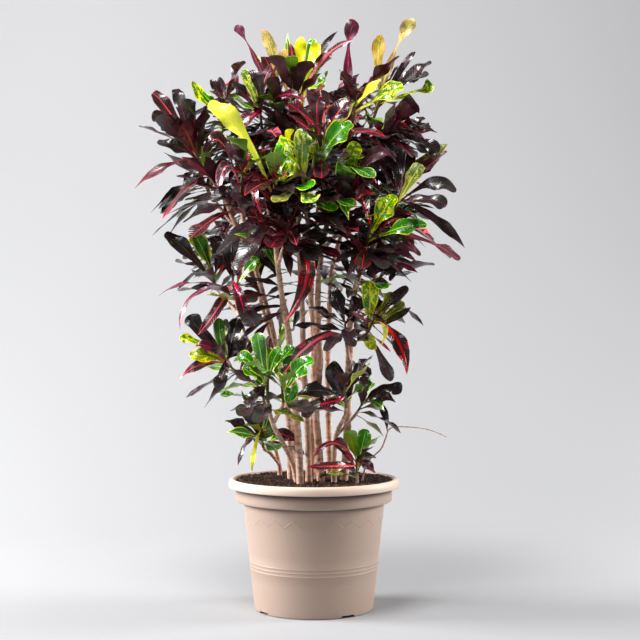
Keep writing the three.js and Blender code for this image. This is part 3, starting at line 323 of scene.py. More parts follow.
      ["dark", "spoon", 26, 0, [383, 389, 10], [401, 393, 4]],
      ["green", "blade", 22, 0, [376, 402, 0], [384, 412, -6]],
      ["dark", "blade", 20, 0, [382, 396, -6], [396, 403, -14]],
      ["dark", "ribbon", 15, 20, [382, 408, 16], [387, 432, 16]]]],
  ["trunk_10", [8, 3.8], [[344, 482.6, 30], [347, 440, 34], [348, 397, 30], [349, 361, 20],
    [351, 343, 10],
    [350, 325, 4], [353, 300, -6], [361, 270, -10], [373, 246, -20], [385, 228, -30], [393, 213, -36]],
    [402, 188, -46], [3, 120, 29, "dark"], [
      ["olive", "spoon", 29, 0, [411, 180, -58], [421, 164, -62]],
      ["dark", "spoon", 31, 0, [430, 184, -52], [456, 192, -56]],
      ["dark", "spoon", 29, 0, [424, 199, -62], [447, 205, -68]],
      ["dark", "ribbon", 21, 20, [438, 221, -40], [465, 248, -34]]]],
  ["trunk_10", [4.4, 3], [[351, 343, 10], [361, 337, -10], [368, 332, -24]],
    [374, 318, -40], [0, 100, 26, "dark"], [
      ["lime", "spoon", 34, 0, [370, 302, -52], [371, 281, -56]],
      ["olive", "spoon", 22, 0, [384, 308, -30], [393, 292, -24]],
      ["olive", "spoon", 19, 0, [390, 313, -36], [404, 302, -32]],
      ["dark", "blade", 22, 0, [393, 318, -52], [411, 307, -58]],
      ["maroon", "blade", 22, 0, [362, 318, -70], [352, 312, -84]],
      ["yellow", "ribbon", 10, 0, [385, 328, -58], [381, 346, -64]],
      ["red", "blade", 30, 0, [398, 341, -50], [407, 375, -50]]]],
  ["trunk_10", [4, 3], [[349, 361, 20], [347, 347, -20], [346, 338, -44]],
    [345, 321, -62], [4, 105, 26, "dark"], [
      ["red", "blade", 28, 0, [313, 342, -88], [281, 378, -98]]]],
  ["trunk_10", [3.8, 2.8], [[350, 325, 4], [364, 306, 44], [371, 296, 58]],
    [382, 272, 66], [4, 115, 29, "dark"], []],
  ["trunk_10", [3.6, 2.8], [[353, 300, -6], [356, 290, -30], [358, 281, -46]],
    [365, 262, -62], [2, 105, 26, "redrib"], [
      ["maroon", "blade", 22, 0, [389, 253, -72], [417, 262, -72]],
      ["dark", "spoon", 36, 0, [380, 270, -90], [397, 272, -98]],
      ["maroon", "blade", 18, 0, [393, 264, -44], [418, 273, -42]]]],
  ["trunk_10", [3.6, 2.8], [[361, 270, -10], [364, 254, -44], [366, 246, -62]],
    [371, 224, -86], [1, 110, 29, "redrib"], [
      ["green", "spoon", 30, 10, [399, 228, -106], [427, 225, -116]],
      ["lime", "spoon", 38, 0, [382, 213, -98], [394, 195, -102]],
      ["redrib", "spoon", 26, 0, [391, 221, -70], [412, 213, -64]],
      ["dark", "ribbon", 24, 20, [390, 237, -100], [410, 241, -106]],
      ["maroon", "spoon", 24, 0, [398, 241, -76], [421, 255, -72]],
      ["maroon", "waist", 29, 0, [424, 240, -60], [460, 260, -54]]]],
  ["trunk_11", [6.5, 3.4], [[300, 480.4, 70], [294, 440, 66], [284, 390, 58], [270, 335, 52],
    [256, 280, 46],
    [246, 247, 36], [238, 230, 28], [231, 214, 18], [223, 195, 8], [213, 181, 0], [205, 171, -6]],
    [193, 150, -10], [2, 120, 29, "dark"], [
      ["redrib", "spoon", 29, 0, [171, 114, -14], [152, 93, -16]],
      ["dark", "spoon", 26, 0, [172, 130, -26], [152, 113, -34]],
      ["dark", "spoon", 29, 0, [180, 148, -40], [157, 142, -50]],
      ["maroon", "blade", 21, 10, [162, 168, -22], [134, 189, -26]]]],
  ["trunk_11", [3.6, 2.8], [[231, 214, 18], [236, 180, 38], [238, 152, 34], [235, 132, 28]],
    [224, 99, 20], [3, 110, 26, "redrib"], [
      ["lime", "spoon", 22, 0, [204, 99, 10], [193, 81, 4]],
      ["green", "spoon", 19, 0, [212, 103, 2], [202, 92, -6]],
      ["dark", "blade", 16, 0, [216, 88, 18], [210, 80, 18]],
      ["dark", "blade", 16, 0, [222, 86, 26], [218, 78, 28]]]],
  ["trunk_11", [3.8, 2.8], [[238, 230, 28], [214, 200, 66], [203, 180, 78]],
    [188, 142, 80], [4, 120, 29, "dark"], [
      ["dark", "spoon", 26, 0, [183, 112, 80], [176, 89, 84]],
      ["dark", "spoon", 24, 0, [191, 118, 74], [190, 99, 72]]]],
  ["trunk_11", [3.8, 2.8], [[256, 280, 46], [240, 262, 80], [232, 250, 94]],
    [222, 222, 108], [4, 115, 29, "dark"], []],
  ["trunk_11", [3.8, 2.8], [[246, 247, 36], [256, 206, 112], [261, 182, 138]],
    [262, 136, 156], [4, 120, 29, "redrib"], []],
  ["trunk_12", [3.2, 2.6], [[357, 486.2, -30], [357, 474, -32]],
    [356, 458, -36], [1, 80, 24, "green"], [
      ["green", "spoon", 29, 0, [362, 447, -36], [366, 429, -36]],
      ["redrib", "spoon", 22, 0, [345, 451, -48], [335, 439, -52]],
      ["redrib", "blade", 22, 0, [331, 466, -76], [309, 467, -92]],
      ["redrib", "ribbon", 13, 0, [334, 443, -62], [311, 460, -72]],
      ["maroon", "blade", 20, 0, [366, 464, -52], [376, 474, -60]]]],
  ["trunk_13", [7, 3.6], [[316, 477.2, 125], [316, 440, 126], [314, 390, 128], [312, 330, 130],
    [312, 270, 134],
    [317, 222, 142], [321, 182, 152]],
    [325, 142, 168], [4, 120, 29, "dark"], []],
  ["trunk_13", [3.8, 2.8], [[312, 330, 130], [332, 303, 152], [342, 288, 160]],
    [352, 262, 170], [4, 115, 29, "dark"], []],
  ["trunk_13", [3.8, 2.8], [[312, 270, 134], [292, 248, 160], [282, 233, 170]],
    [273, 202, 184], [4, 115, 29, "redrib"], []],
  ["trunk_13", [3.8, 2.8], [[314, 390, 128], [294, 373, 148], [285, 361, 156]],
    [278, 340, 164], [4, 105, 29, "green"], []],
  ["trunk_13", [3.8, 2.8], [[317, 222, 142], [346, 198, 162], [360, 186, 170]],
    [373, 158, 182], [4, 120, 29, "dark"], []],
]

# A thin dead twig without leaves
TWIG = ["twig", [1.8, 0.8], [[362, 483.8, 10], [367, 463, 8], [381, 449, 5], [386, 437, 3],
    [391, 428, 0], [410, 427, -5], [430, 430, -8], [447, 437, -10]]]

Stem = namedtuple("Stem", "wood radii line tip spirals aimed", defaults=[None] * 3)
STEMS, TWIG = [Stem(*row) for row in STEMS], Stem(*TWIG)

# How many places of a stem's smooth line lie between two given ones, how far above the soil
# they start, and the stops of a shoot's own stem with its middle radius as a share of its foot
STEM_STEPS = 6
STEM_CLEAR = 2
SHOOT_STOPS = 9
SHOOT_MIDDLE = 0.8

# The pot and its soil, in millimetres. Steps are the rows of a line, as shares of its half.
POT = {"foot": 116.5, "body": 138.5, "body_top": 209, "throat": 150, "floor": 7.5, "wall": 3.2,
       "bevel": 3, "collar_base": 212.5, "lip_base": 238.5, "under": 60}
RINGS = {"heights": [81, 88, 95], "half": 0.9, "relief": 0.4, "steps": (-1, -0.55, 0, 0.55, 1)}
ZIGZAG = {"middle": 180, "swing": 7, "half": 1.2, "relief": 0.45, "periods": 22,
          "steps": (-1, -0.6, -0.2, 0.2, 0.6, 1)}
LIP = [(138.5, 209), (145, 210.2), (151, 211.4), (153, 214), (153.4, 225), (153.5, 236), (154.6, 238),
       (158, 238), (163.4, 238), (166, 239), (166.9, 241.2), (167, 246), (166.2, 250), (164.4, 253.2),
       (161.6, 254.9), (158, 254.8), (155.2, 252.8), (153.5, 247)]
LIP_STEP = 0.34
NOTCH = {"turns": [0.6, 2.17, 3.74, 5.31], "width": 30, "height": 5, "depth": 16, "past": 9}
DRAIN = {"radius": 6, "ring": 84, "width": 12, "height": 2.2, "reach": 15}
SOIL = {"middle": 245, "rim": 252, "hole_depth": 36, "innermost": 5, "rows": 38,
        "dish": [(0, 245), (60, 246), (112, 249), (152.3, 252)]}

# The inside of the pot from its floor to its lip, and how many gaps the soil lies out and up
# from each of those places
INSIDE = [(POT["foot"] - POT["wall"], POT["floor"]), (POT["body"] - POT["wall"], POT["body_top"] - 1),
          (POT["throat"] - 0.6, POT["collar_base"] + 1.5), (POT["throat"], POT["lip_base"])]
SOIL_GAPS = [(-2, 1), (-2, 1), (-2, 2), (-3, 0)]

# Heights of the rows of the pot's plain wall below its rings, above them and above the zigzag
WALL_ROWS = {"low": (20, 40, 60), "middle": (115, 135, 155, 172), "high": (203, 207)}

# Sides of the round pieces, and the angle above which faces of the pot meet in an edge
SIDES = {"stem": 12, "twig": 8, "shoot": 8, "soil": 120, "drain": 24}
POT_EDGE = math.radians(38)

# How the bark's grain is drawn out along the stems, and the width of the camera's sensor
STRETCH = (1, 1, 0.4)
SENSOR = 36


# Places and draws, as in the frame's source

def seen(place):
    """A place of the front view, in millimetres."""
    across, down, depth = place
    scale = (VIEW["distance"] + depth) / VIEW["focal"]
    return np.array([VIEW["offset"] + (across - VIEW["centre"]) * scale, depth,
                     VIEW["height"] + (VIEW["centre"] - down) * scale])


def seeded(seed):
    """Repeatable draws from 0 to 1."""
    state = ((seed + 1) * 2654435761) & 0xFFFFFFFF
    while True:
        state = (state * 1664525 + 1013904223) & 0xFFFFFFFF
        yield state / 4294967296


def unit(v):
    return v / np.linalg.norm(v)


def turned(v, axis, angle):
    """v turned round a unit axis."""
    return (v * math.cos(angle) + np.cross(axis, v) * math.sin(angle)
            + axis * np.dot(axis, v) * (1 - math.cos(angle)))


def along(places, t):
    """A point on the smooth line through the places, with t counted in places."""
    i = min(max(math.floor(t), 0), len(places) - 2)
    f = t - i
    a, b, c = places[max(i - 1, 0)], places[i], places[i + 1]
    d = places[min(i + 2, len(places) - 1)]
    return (a * (-0.5 * f + f * f - 0.5 * f ** 3) + b * (1 - 2.5 * f * f + 1.5 * f ** 3)
            + c * (0.5 * f + 2 * f * f - 1.5 * f ** 3) + d * (-0.5 * f * f + 0.5 * f ** 3))


def heading_at(places, t):
    return unit(along(places, t + 0.01) - along(places, t - 0.01))


def spread(pair, draw):
    return pair[0] + pair[1] * draw


# Leaves

# Faces that meet more sharply than this have an edge between them, as at a blade's rim.
RIM_ANGLE = math.radians(80)


def shoot_line(stem):
    """The places of a stem and its shoot's tip, and which of them is the shoot's foot."""
    return [seen(p) for p in [*stem.line, stem.tip]], len(stem.line) - 1


def in_crown(stem):
    return seen(stem.tip)[2] > EXTRAS_ABOVE


def aimed_leaf(aim, foot, wave, twist, shift):
    tone, outline, width, roll, middle, tip = aim
    centre = seen([middle[0], middle[1], middle[2] + shift / 2])
    end = seen([tip[0], tip[1], tip[2] + shift])
    bow = 2 * centre - 0.5 * foot - 0.5 * end
    return {"tone": tone, "outline": outline, "width": width, "wave": wave, "frill": FRILL,
            "side": unit(np.cross(FACED, end - foot)), "twist": twist * 0.6,
            "roll": math.radians(roll) - twist * 0.3, "line": (foot, bow, end)}


def spiral_leaf(way, bend):
    foot, axis, rise, draws = way["foot"], way["axis"], way["rise"], way["draws"]
    swing, opening, share = bend
    first = unit(np.array([1.0, 0, 0]) - axis * axis[0])
    out = turned(first, axis, way["turn"] + draws[0] * OPENING["turn"] + math.radians(swing))
    angle = (OPENING["low"] + (OPENING["high"] - OPENING["low"]) * rise
             + (draws[1] - 0.5) * OPENING["jitter"] + math.radians(opening))
    heading = axis * math.cos(angle) + out * math.sin(angle)
    long = way["length"] * share * spread(LENGTH_SPREAD, draws[2])
    droop = spread(DROOP_SPREAD, draws[3]) * spread(DROOP_RISE, rise) * long
    return {"tone": way["tone"], "outline": way["outlines"][int(draws[4] * len(way["outlines"]))],
            "width": way["width"] * spread(WIDTH_SPREAD, draws[5]), "wave": way["wave"],
            "frill": way["frill"], "side": np.cross(axis, out), "twist": way["twist"],
            "roll": -way["twist"] * 0.5,
            "line": (foot, foot + heading * long * 0.5, foot + heading * long - UP * droop)}


def leaves_of(stem, number, extras):
    """The leaves of a shoot, each as its ways to bend clear: first the frame's own leaves,
    then extra spiral leaves that fill the shoot between them."""
    spirals, length, width, tone = stem.spirals
    places, start = shoot_line(stem)
    total = spirals + len(stem.aimed)
    axis = heading_at(places, start + 0.5)
    crown = in_crown(stem)
    leaves = []
    for n in range(total + extras):
        draw = seeded(number * 100 + n)
        own = n < total
        rise = (n + 0.5) / total if own else ((n - total + 0.5) * GOLDEN) % 1
        inner = not own and crown and (n - total) % INNER_EVERY == INNER_EVERY - 1
        tones = EXTRA_TONES["inner" if inner else tone if crown else "low"]
        feet = FEET if own else EXTRA_FEET
        at = max(0, start + feet["from"] + feet["span"] * rise)
        foot = along(places, start * (INNER_FEET["from"] + INNER_FEET["span"] * rise) if inner else at)
        wave = WAVE_SHARE * (0.5 + 0.5 * next(draw)) * (-1 if next(draw) < 0.5 else 1)
        twist = (next(draw) - 0.5) * TWIST
        if n < len(stem.aimed):
            leaves.append([aimed_leaf(stem.aimed[n], foot, wave, twist, shift) for shift in SHIFTS])
            continue
        way = {"foot": foot, "axis": axis, "length": length, "width": width, "tone": tone,
               "wave": wave, "twist": twist, "rise": rise, "turn": n * SPIRAL, "frill": FRILL,
               "outlines": SPIRAL_OUTLINES, "draws": [next(draw) for _ in range(6)]}
        if not own:
            way["length"] *= EXTRA_LENGTH
            way["width"] *= EXTRA_WIDTH
            way["wave"] *= EXTRA_WAVE
            way["twist"] *= EXTRA_TWIST
            way["frill"], way["outlines"] = 0, ["ribbon"] if inner else EXTRA_OUTLINES
            if inner:
                way["width"] *= INNER_WIDTH
            way["tone"] = tones[int(next(draw) * len(tones))]
        leaves.append([spiral_leaf(way, bend) for bend in BENDS])
    return leaves


def width_share(outline, s):
    """Half width of an outline as a share of the widest."""
    body, tip_from, power = OUTLINES[outline]
    at = np.array([p[0] for p in body])
    w = np.array([p[1] for p in body])
    k = np.clip(np.searchsorted(at, s), 1, len(at) - 1)
    f = (s - at[k - 1]) / (at[k] - at[k - 1])
    share = w[k - 1] + (w[k] - w[k - 1]) * f * f * (3 - 2 * f)
    x = np.clip((s - tip_from) / (1 - tip_from), 0, 1)
    return share * (1 - x * x) ** power


def blade_frame(leaf, s):
    """The middle, side and normal of a blade at shares s of its length."""
    p0, p1, p2 = leaf["line"]
    t = s[:, None]
    middle = p0 * (1 - t) ** 2 + p1 * 2 * t * (1 - t) + p2 * t * t
    heading = (p1 - p0) * (1 - t) + (p2 - p1) * t
    heading /= np.linalg.norm(heading, axis=1)[:, None]
    side = leaf["side"] - heading * (heading @ leaf["side"])[:, None]
    side /= np.linalg.norm(side, axis=1)[:, None]
    angle = (leaf["roll"] + leaf["twist"] * s)[:, None]
    side = side * np.cos(angle) + np.cross(heading, side) * np.sin(angle)
    return middle, side, np.cross(heading, side)


def blade_stations(outline, body, tip):
    """Shares of a blade's length, closer together in its tip."""
    tip_from = OUTLINES[outline][1]
    return np.concatenate([np.linspace(0, tip_from, body + 1),
                           tip_from + (1 - tip_from) * np.sin(np.linspace(0, math.pi / 2, tip + 1))[1:]])


def blade_surface(leaf, s, c):
    """The middle surface of a waved blade at shares s along and c across, from -1 to 1,
    with its normals and half widths."""
    p0, _, p2 = leaf["line"]
    length = np.linalg.norm(p2 - p0)
    middle, side, normal = blade_frame(leaf, s)
    wide = leaf["width"] * width_share(leaf["outline"], s)
    pitch = TIP_SHARE / (4 if length > LONG_LEAF else 3)
    phase = math.pi * (s - pitch / 2) / pitch
    sway = leaf["wave"] * wide * np.sin(phase)
    frill = leaf["wave"] * wide * leaf["frill"] * np.sin(FRILL_PACE * phase + leaf["width"])
    across = np.sign(c) * np.abs(c) ** 1.3
    lift = (sway[:, None] * across[None, :] + frill[:, None] * (c ** 2)[None, :]
            + FOLD * wide[:, None] * (np.abs(c) - 0.4)[None, :])
    places = (middle[:, None, :] + side[:, None, :] * (wide[:, None] / 2 * c[None, :])[:, :, None]
              + normal[:, None, :] * lift[:, :, None])
    return places, normal, wide / 2, length


class Growth:
    """Vertices, faces and attributes of one piece as they are put together."""

    def __init__(self):
        self.places, self.faces, self.materials = [], [], []
        self.blade, self.leaf = [], []
        self.count = 0

    def add(self, places, faces, material, blade=None, leaf=None):
        self.places.append(places)
        self.faces += [[self.count + i for i in face] for face in faces]
        self.materials += [material] * len(faces)
        self.blade.append(blade if blade is not None else np.zeros((len(places), 3)))
        self.leaf += leaf if leaf is not None else [(0.5, 100.0, 0.0)] * len(faces)
        self.count += len(places)

    def mesh(self, name, materials):
        mesh = bpy.data.meshes.new(name)
        mesh.from_pydata((np.vstack(self.places) * MM).tolist(), [], self.faces)
        for material in materials:
            mesh.materials.append(material)
        mesh.polygons.foreach_set("material_index", self.materials)
        mesh.attributes.new("blade", "FLOAT_VECTOR", "POINT").data.foreach_set(
            "vector", np.vstack(self.blade).ravel())
        mesh.attributes.new("leaf", "FLOAT_VECTOR", "FACE").data.foreach_set(
            "vector", np.array(self.leaf, float).ravel())
        mesh.validate()
        mesh.shade_smooth()
        mesh.set_sharp_from_angle(angle=RIM_ANGLE)
        return mesh


def grow_blade(growth, leaf, material, seed, grid):
    """A closed blade whose two faces meet in its rim."""
    columns, stride, body, tip = grid
    c = np.array(columns)
    s = blade_stations(leaf["outline"], body, tip)
    surface, normal, reach, length = blade_surface(leaf, s, c)
    n_c = len(c)
    inner = np.arange(stride, n_c - 1, stride)
    petiole = np.clip(1 - s / PETIOLE, 0, 1) ** 1.5
    half = (BLADE_HALF + PETIOLE_HALF * petiole)[:, None] * (1 - np.abs(c) ** 3)[None, :]
    half *= np.minimum(1, reach / THIN_BELOW)[:, None]
    lift = normal[:, None, :] * half[:, :, None]
    top, under = surface + lift, surface - lift
    # vertices: foot, tip, then for each row the top from rim to rim and the under side between
    places = [surface[0, n_c // 2], surface[-1, n_c // 2]]
    marks = [(0, 0, reach[0]), (0, length, 0.1)]
    for k in range(1, len(s) - 1):
        places += list(top[k]) + list(under[k, inner])
        marks += [(share * reach[k], s[k] * length, reach[k]) for share in (*c, *c[inner])]
    width = n_c + len(inner)
    starts = range(2, len(places), width)
    faces, leaf_marks = [], []
    for below, side in enumerate((range(n_c), (0, *range(n_c, width), n_c - 1))):
        for i, j in zip(side, side[1:]):
            loop = [[0, 2 + j, 2 + i]]
            loop += [[a + i, a + j, b + j, b + i] for a, b in zip(starts, starts[1:])]
            loop.append([starts[-1] + i, starts[-1] + j, 1])
            faces += [face[::-1] if below else face for face in loop]
            leaf_marks += [(seed, length, float(below))] * len(loop)
    growth.add(np.array(places), faces, material, np.array(marks), leaf_marks)


def grow_stem(growth, stops, sides, material):
    """A round stem through (middle, heading, radius) stops, closed at both ends."""
    across = np.array([1.0, 0, 0])
    places = [stops[0][0]]
    for middle, heading, radius in stops:
        across = unit(across - heading * np.dot(across, heading))
        other = np.cross(heading, across)
        for i in range(sides):
            angle = 2 * math.pi * i / sides
            places.append(middle + across * radius * math.cos(angle) + other * radius * math.sin(angle))
    middle, heading, radius = stops[-1]
    places.append(middle + heading * radius * 1.6)
    faces = []
    for i in range(sides):
        j = (i + 1) % sides
        faces.append([0, 1 + j, 1 + i])
        for k in range(len(stops) - 1):
            a, b = 1 + k * sides, 1 + (k + 1) * sides
            faces.append([a + i, a + j, b + j, b + i])
        last = 1 + (len(stops) - 1) * sides
        faces.append([last + i, last + j, len(places) - 1])
    growth.add(np.array(places), faces, material)


def test_tree(places, faces):
    """A search tree of faces to test leaves against, with its box."""
    return BVHTree.FromPolygons(places.tolist(), faces), places.min(0), places.max(0)


def coarse_tree(leaf):
    """The outer part of a blade's middle surface, coarse, to test against others."""
    s, c = np.linspace(*TEST_SPAN), np.array([-1.0, 0.0, 1.0])
    faces = [[3 * k + j, 3 * k + j + 1, 3 * k + j + 4, 3 * k + j + 3]
             for k in range(len(s) - 1) for j in range(2)]
    return test_tree(blade_surface(leaf, s, c)[0].reshape(-1, 3), faces)


def is_clear(test, others):
    tree, low, high = test
    bottom, top = (np.array(corner) / MM for corner in CAD_BOX)
    if (low < bottom - STAND_OUT).any() or (high > top + STAND_OUT).any():
        return False
    return not any((low <= b).all() and (a <= high).all() and tree.overlap(other)
                   for other, a, b in others)


def node_tree(name):
    """A frame node's mesh, in millimetres."""
    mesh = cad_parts[name].data
    return test_tree(np.array([v.co for v in mesh.vertices], float) / MM,
                     [list(p.vertices) for p in mesh.polygons])


def corners_of(name):
    """The corners of a frame node, to find the nearest of them."""
    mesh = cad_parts[name].data
    corners = KDTree(len(mesh.vertices))
    for i, vertex in enumerate(mesh.vertices):
        corners.insert(vertex.co, i)
    corners.balance()
    return corners


def grown_leaves(extra_count):
    """The leaves that each shoot of the frame carries, and extra ones bent clear of them."""
    found, spare = [], []
    for number, stem in enumerate(STEMS):
        corners = corners_of(f"shoot_{number + 1:02d}")
        extras = extra_count if in_crown(stem) else round(extra_count * LOW_SHARE)
        ways = leaves_of(stem, number, extras)
        total = len(ways) - extras
        kept = []
        for n, candidates in enumerate(ways[:total]):
            match = [leaf for leaf in candidates if corners.find(leaf["line"][2] * MM)[2] < MATCH]
            if match:
                kept.append((n, match[0]))
        found.append(kept)
        spare.append(list(enumerate(ways[total:], total)))
    others = [coarse_tree(leaf) for kept in found for _, leaf in kept]
    others += [node_tree(name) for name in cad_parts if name[:5] in ("trunk", "twig", "pot", "soil")]
    for kept, rest in zip(found, spare):
        for n, candidates in rest:
            for leaf in candidates:
                test = coarse_tree(leaf)
                if is_clear(test, others):
                    others.append(test)
                    kept.append((n, leaf))
                    break
    return found


# Node trees

COLOUR, NUMBER, GEOMETRY = "NodeSocketColor", "NodeSocketFloat", "NodeSocketGeometry"
SOCKETS = {tuple: COLOUR, float: NUMBER, int: "NodeSocketInt"}
SURFACE = {"Color": COLOUR, "Roughness": NUMBER, "Height": NUMBER}


class Value:
    """An output of a node tree. Sums with it add the nodes that work them out."""

    def __init__(self, socket):
        self.socket, self.tree = socket, socket.id_data

    def math(self, operation, *others):
        return node(self.tree, "ShaderNodeMath", dict(enumerate((self, *others))), operation=operation)

    def __add__(self, other):
        return self.math("ADD", other)

    def __sub__(self, other):
        return self.math("SUBTRACT", other)

    def __rsub__(self, other):
        return node(self.tree, "ShaderNodeMath", {0: other, 1: self}, operation="SUBTRACT")

    def __mul__(self, other):
        return self.math("MULTIPLY", other)

    def __truediv__(self, other):
        return self.math("DIVIDE", other)

    def __pow__(self, other):
        return self.math("POWER", other)

    def __abs__(self):
        return self.math("ABSOLUTE")

    def ramp(self, low, high, to_low=0.0, to_high=1.0):
        """A smooth step between low and high."""
        return node(self.tree, "ShaderNodeMapRange",
                    {"Value": self, "From Min": low, "From Max": high, "To Min": to_low, "To Max": to_high},
                    "Result", interpolation_type="SMOOTHSTEP")

    def mix(self, a, b):
        """Colour a where this is 0 and b where it is 1."""
        return node(self.tree, "ShaderNodeMix", {0: self, 6: a, 7: b}, 2, data_type="RGBA")

    def noise(self, scale, detail=3.0, roughness=0.55):
        """Noise from 0 to 1 at this place."""
        return node(self.tree, "ShaderNodeTexNoise",
                    {"Vector": self, "Scale": scale, "Detail": detail, "Roughness": roughness}, "Fac")

    def split(self):
        """The three numbers of a vector."""
        return node(self.tree, "ShaderNodeSeparateXYZ", {0: self}, None).values()


def feed(made, inputs):
    """Sets inputs of a node to numbers and colours, or links them to values."""
    for key, value in inputs.items():
        if isinstance(value, Value):
            value.tree.links.new(value.socket, made.inputs[key])
        else:
            made.inputs[key].default_value = value


def node(tree, kind, inputs=None, output=0, **settings):
    """One output of a new node with its settings and inputs, or all of them by name."""
    made = tree.nodes.new(kind)
    for name, value in settings.items():
        setattr(made, name, value)
    feed(made, inputs or {})
    if output is None:
        return {socket.name: Value(socket) for socket in made.outputs}
    return Value(made.outputs[output])


def group_tree(name, kind, inputs, outputs):
    """A node group, the values of its inputs and its output node. An input comes with its
    default, or else with the kind of its socket."""
    tree = bpy.data.node_groups.new(name, kind)
    for label, default in inputs.items():
        plain = not isinstance(default, str)
        made = tree.interface.new_socket(label, in_out="INPUT",
                                         socket_type=SOCKETS[type(default)] if plain else default)
        if plain:
            made.default_value = default
    for label, socket in outputs.items():
        tree.interface.new_socket(label, in_out="OUTPUT", socket_type=socket)
    return tree, node(tree, "NodeGroupInput", output=None), tree.nodes.new("NodeGroupOutput")


def shape_tree(name, inputs):
    """A geometry group with its geometry and material among its inputs."""
    return group_tree(name, "GeometryNodeTree", {
        "Geometry": GEOMETRY, **inputs, "Material": "NodeSocketMaterial"}, {"Geometry": GEOMETRY})


def finish_shape(shape, material, end):
    """Makes a shape's instances real, gives it its material and hands it out."""
    real = node(shape.tree, "GeometryNodeRealizeInstances", {"Geometry": shape})
    done = node(shape.tree, "GeometryNodeSetMaterial", {"Geometry": real, "Material": material})
    feed(end, {"Geometry": done})
    return shape.tree


def leaf_group():
    """Blade, rib, veins, margin and patches of a croton leaf, from the blade's own attributes:
    "blade" holds millimetres across from the rib, along from the foot and out to the rim,
    and "leaf" holds the leaf's draw, its length and whether the face looks down."""
    tree, given, end = group_tree("Leaf blade", "ShaderNodeTree", {
        "Blade": (0.02, 0.02, 0.02, 1), "Second": (0.02, 0.04, 0.02, 1), "Rib": (0.3, 0.02, 0.02, 1),
        "Patch": (0.4, 0.3, 0.02, 1), "Margin": (0.3, 0.02, 0.02, 1), "Under": (0.1, 0.02, 0.03, 1),
        "Rib Width": 1.4, "Vein Colour": 0.3, "Margin Width": 1.2, "Patches": 0.3, "Gloss": 0.3}, SURFACE)
    (across, run, reach), (seed, length, under) = (
        node(tree, "ShaderNodeAttribute", output="Vector", attribute_name=name).split()
        for name in ("blade", "leaf"))
    away = abs(across)

    def at(across_scale, run_scale, offset):
        """A place on the blade, moved by the leaf's own draw."""
        return node(tree, "ShaderNodeCombineXYZ", {
            0: across * across_scale, 1: run * run_scale, 2: seed.math("MULTIPLY_ADD", 57.0, offset)})

    wobble = at(0.35, 0.2, 0.0).noise(1.0, 2.0)
    # the rib narrows towards the tip
    rib_half = given["Rib Width"] * (run / length).ramp(0.0, 1.0, 1.25, 0.3)
    rib = (away / rib_half).ramp(0.7, 1.35, 1.0, 0.0)
    # side veins leave the rib forwards and bend along the blade near its rim
    forward = run - away * 0.85 + wobble * 2.4
    off_vein = abs((forward / 6.5).math("FRACT") - 0.5)
    near_rim = reach - away
    vein = off_vein.ramp(0.05, 0.13, 1.0, 0.0) * near_rim.ramp(0.5, 4.0)
    margin = wobble.math("MULTIPLY_ADD", 1.4, near_rim - 0.7) / given["Margin Width"]
    margin = margin.ramp(0.5, 1.3, 1.0, 0.0)
    # patches lie between the veins, more of them near the rib
    spots = at(0.16, 0.07, 11.0).noise(1.0, 3.0, 0.6) + (0.25 - off_vein) * 0.12
    patch = (spots - (0.78 - given["Patches"] * 0.5)).ramp(-0.02, 0.03) * given["Patches"].ramp(0.0, 0.02)
    cloud = at(0.05, 0.025, 29.0).noise(1.0, 2.0)
    colour = cloud.ramp(0.35, 0.65).mix(given["Blade"], given["Second"])
    colour = patch.mix(colour, given["Patch"])
    colour = (vein * given["Vein Colour"]).mix(colour, given["Rib"])
    colour = rib.mix(margin.mix(colour, given["Margin"]), given["Rib"])
    below = (rib.math("MAXIMUM", vein) * 0.45).mix(given["Under"], given["Rib"])
    hue = node(tree, "ShaderNodeHueSaturation", {
        "Hue": (seed * 7.3).math("FRACT").math("MULTIPLY_ADD", 0.016, 0.49),
        "Saturation": (seed * 3.1).math("FRACT").math("MULTIPLY_ADD", 0.25, 0.9),
        "Value": seed.math("MULTIPLY_ADD", 0.5, 0.75), "Color": under.mix(colour, below)})
    fine = at(0.9, 0.5, 3.0).noise(1.0)
    relief = off_vein.ramp(0.0, 0.5) * 0.2 + fine * 0.15 - rib * 0.7
    feed(end, {"Color": hue, "Roughness": given["Gloss"] + (fine - 0.5) * 0.18 + under * 0.08,
               "Height": relief * (1.0 - under * 2.0)})
    return tree


def weather_group():
    """Grain and blotches of a hard surface, on its own coordinates."""
    tree, given, end = group_tree("Weathering", "ShaderNodeTree", {
        "Colour": (0.4, 0.4, 0.4, 1), "Stain": (0.2, 0.2, 0.2, 1), "Coordinates": "NodeSocketVector",
        "Blotch Scale": 20.0, "Grain Scale": 600.0, "Amount": 0.4, "Base Roughness": 0.5}, SURFACE)
    blotch = given["Coordinates"].noise(given["Blotch Scale"], 4.0, 0.6)
    grain = given["Coordinates"].noise(given["Grain Scale"], 2.0, 0.6)
    mask = blotch.ramp(0.35, 0.75) * given["Amount"]
    specks = grain.ramp(0.45, 0.75) * (given["Amount"] * 0.4)
    feed(end, {"Color": specks.mix(mask.mix(given["Colour"], given["Stain"]), given["Stain"]),
               "Roughness": given["Base Roughness"] + mask * 0.15, "Height": grain * 0.6 + blotch * 0.8})
    return tree


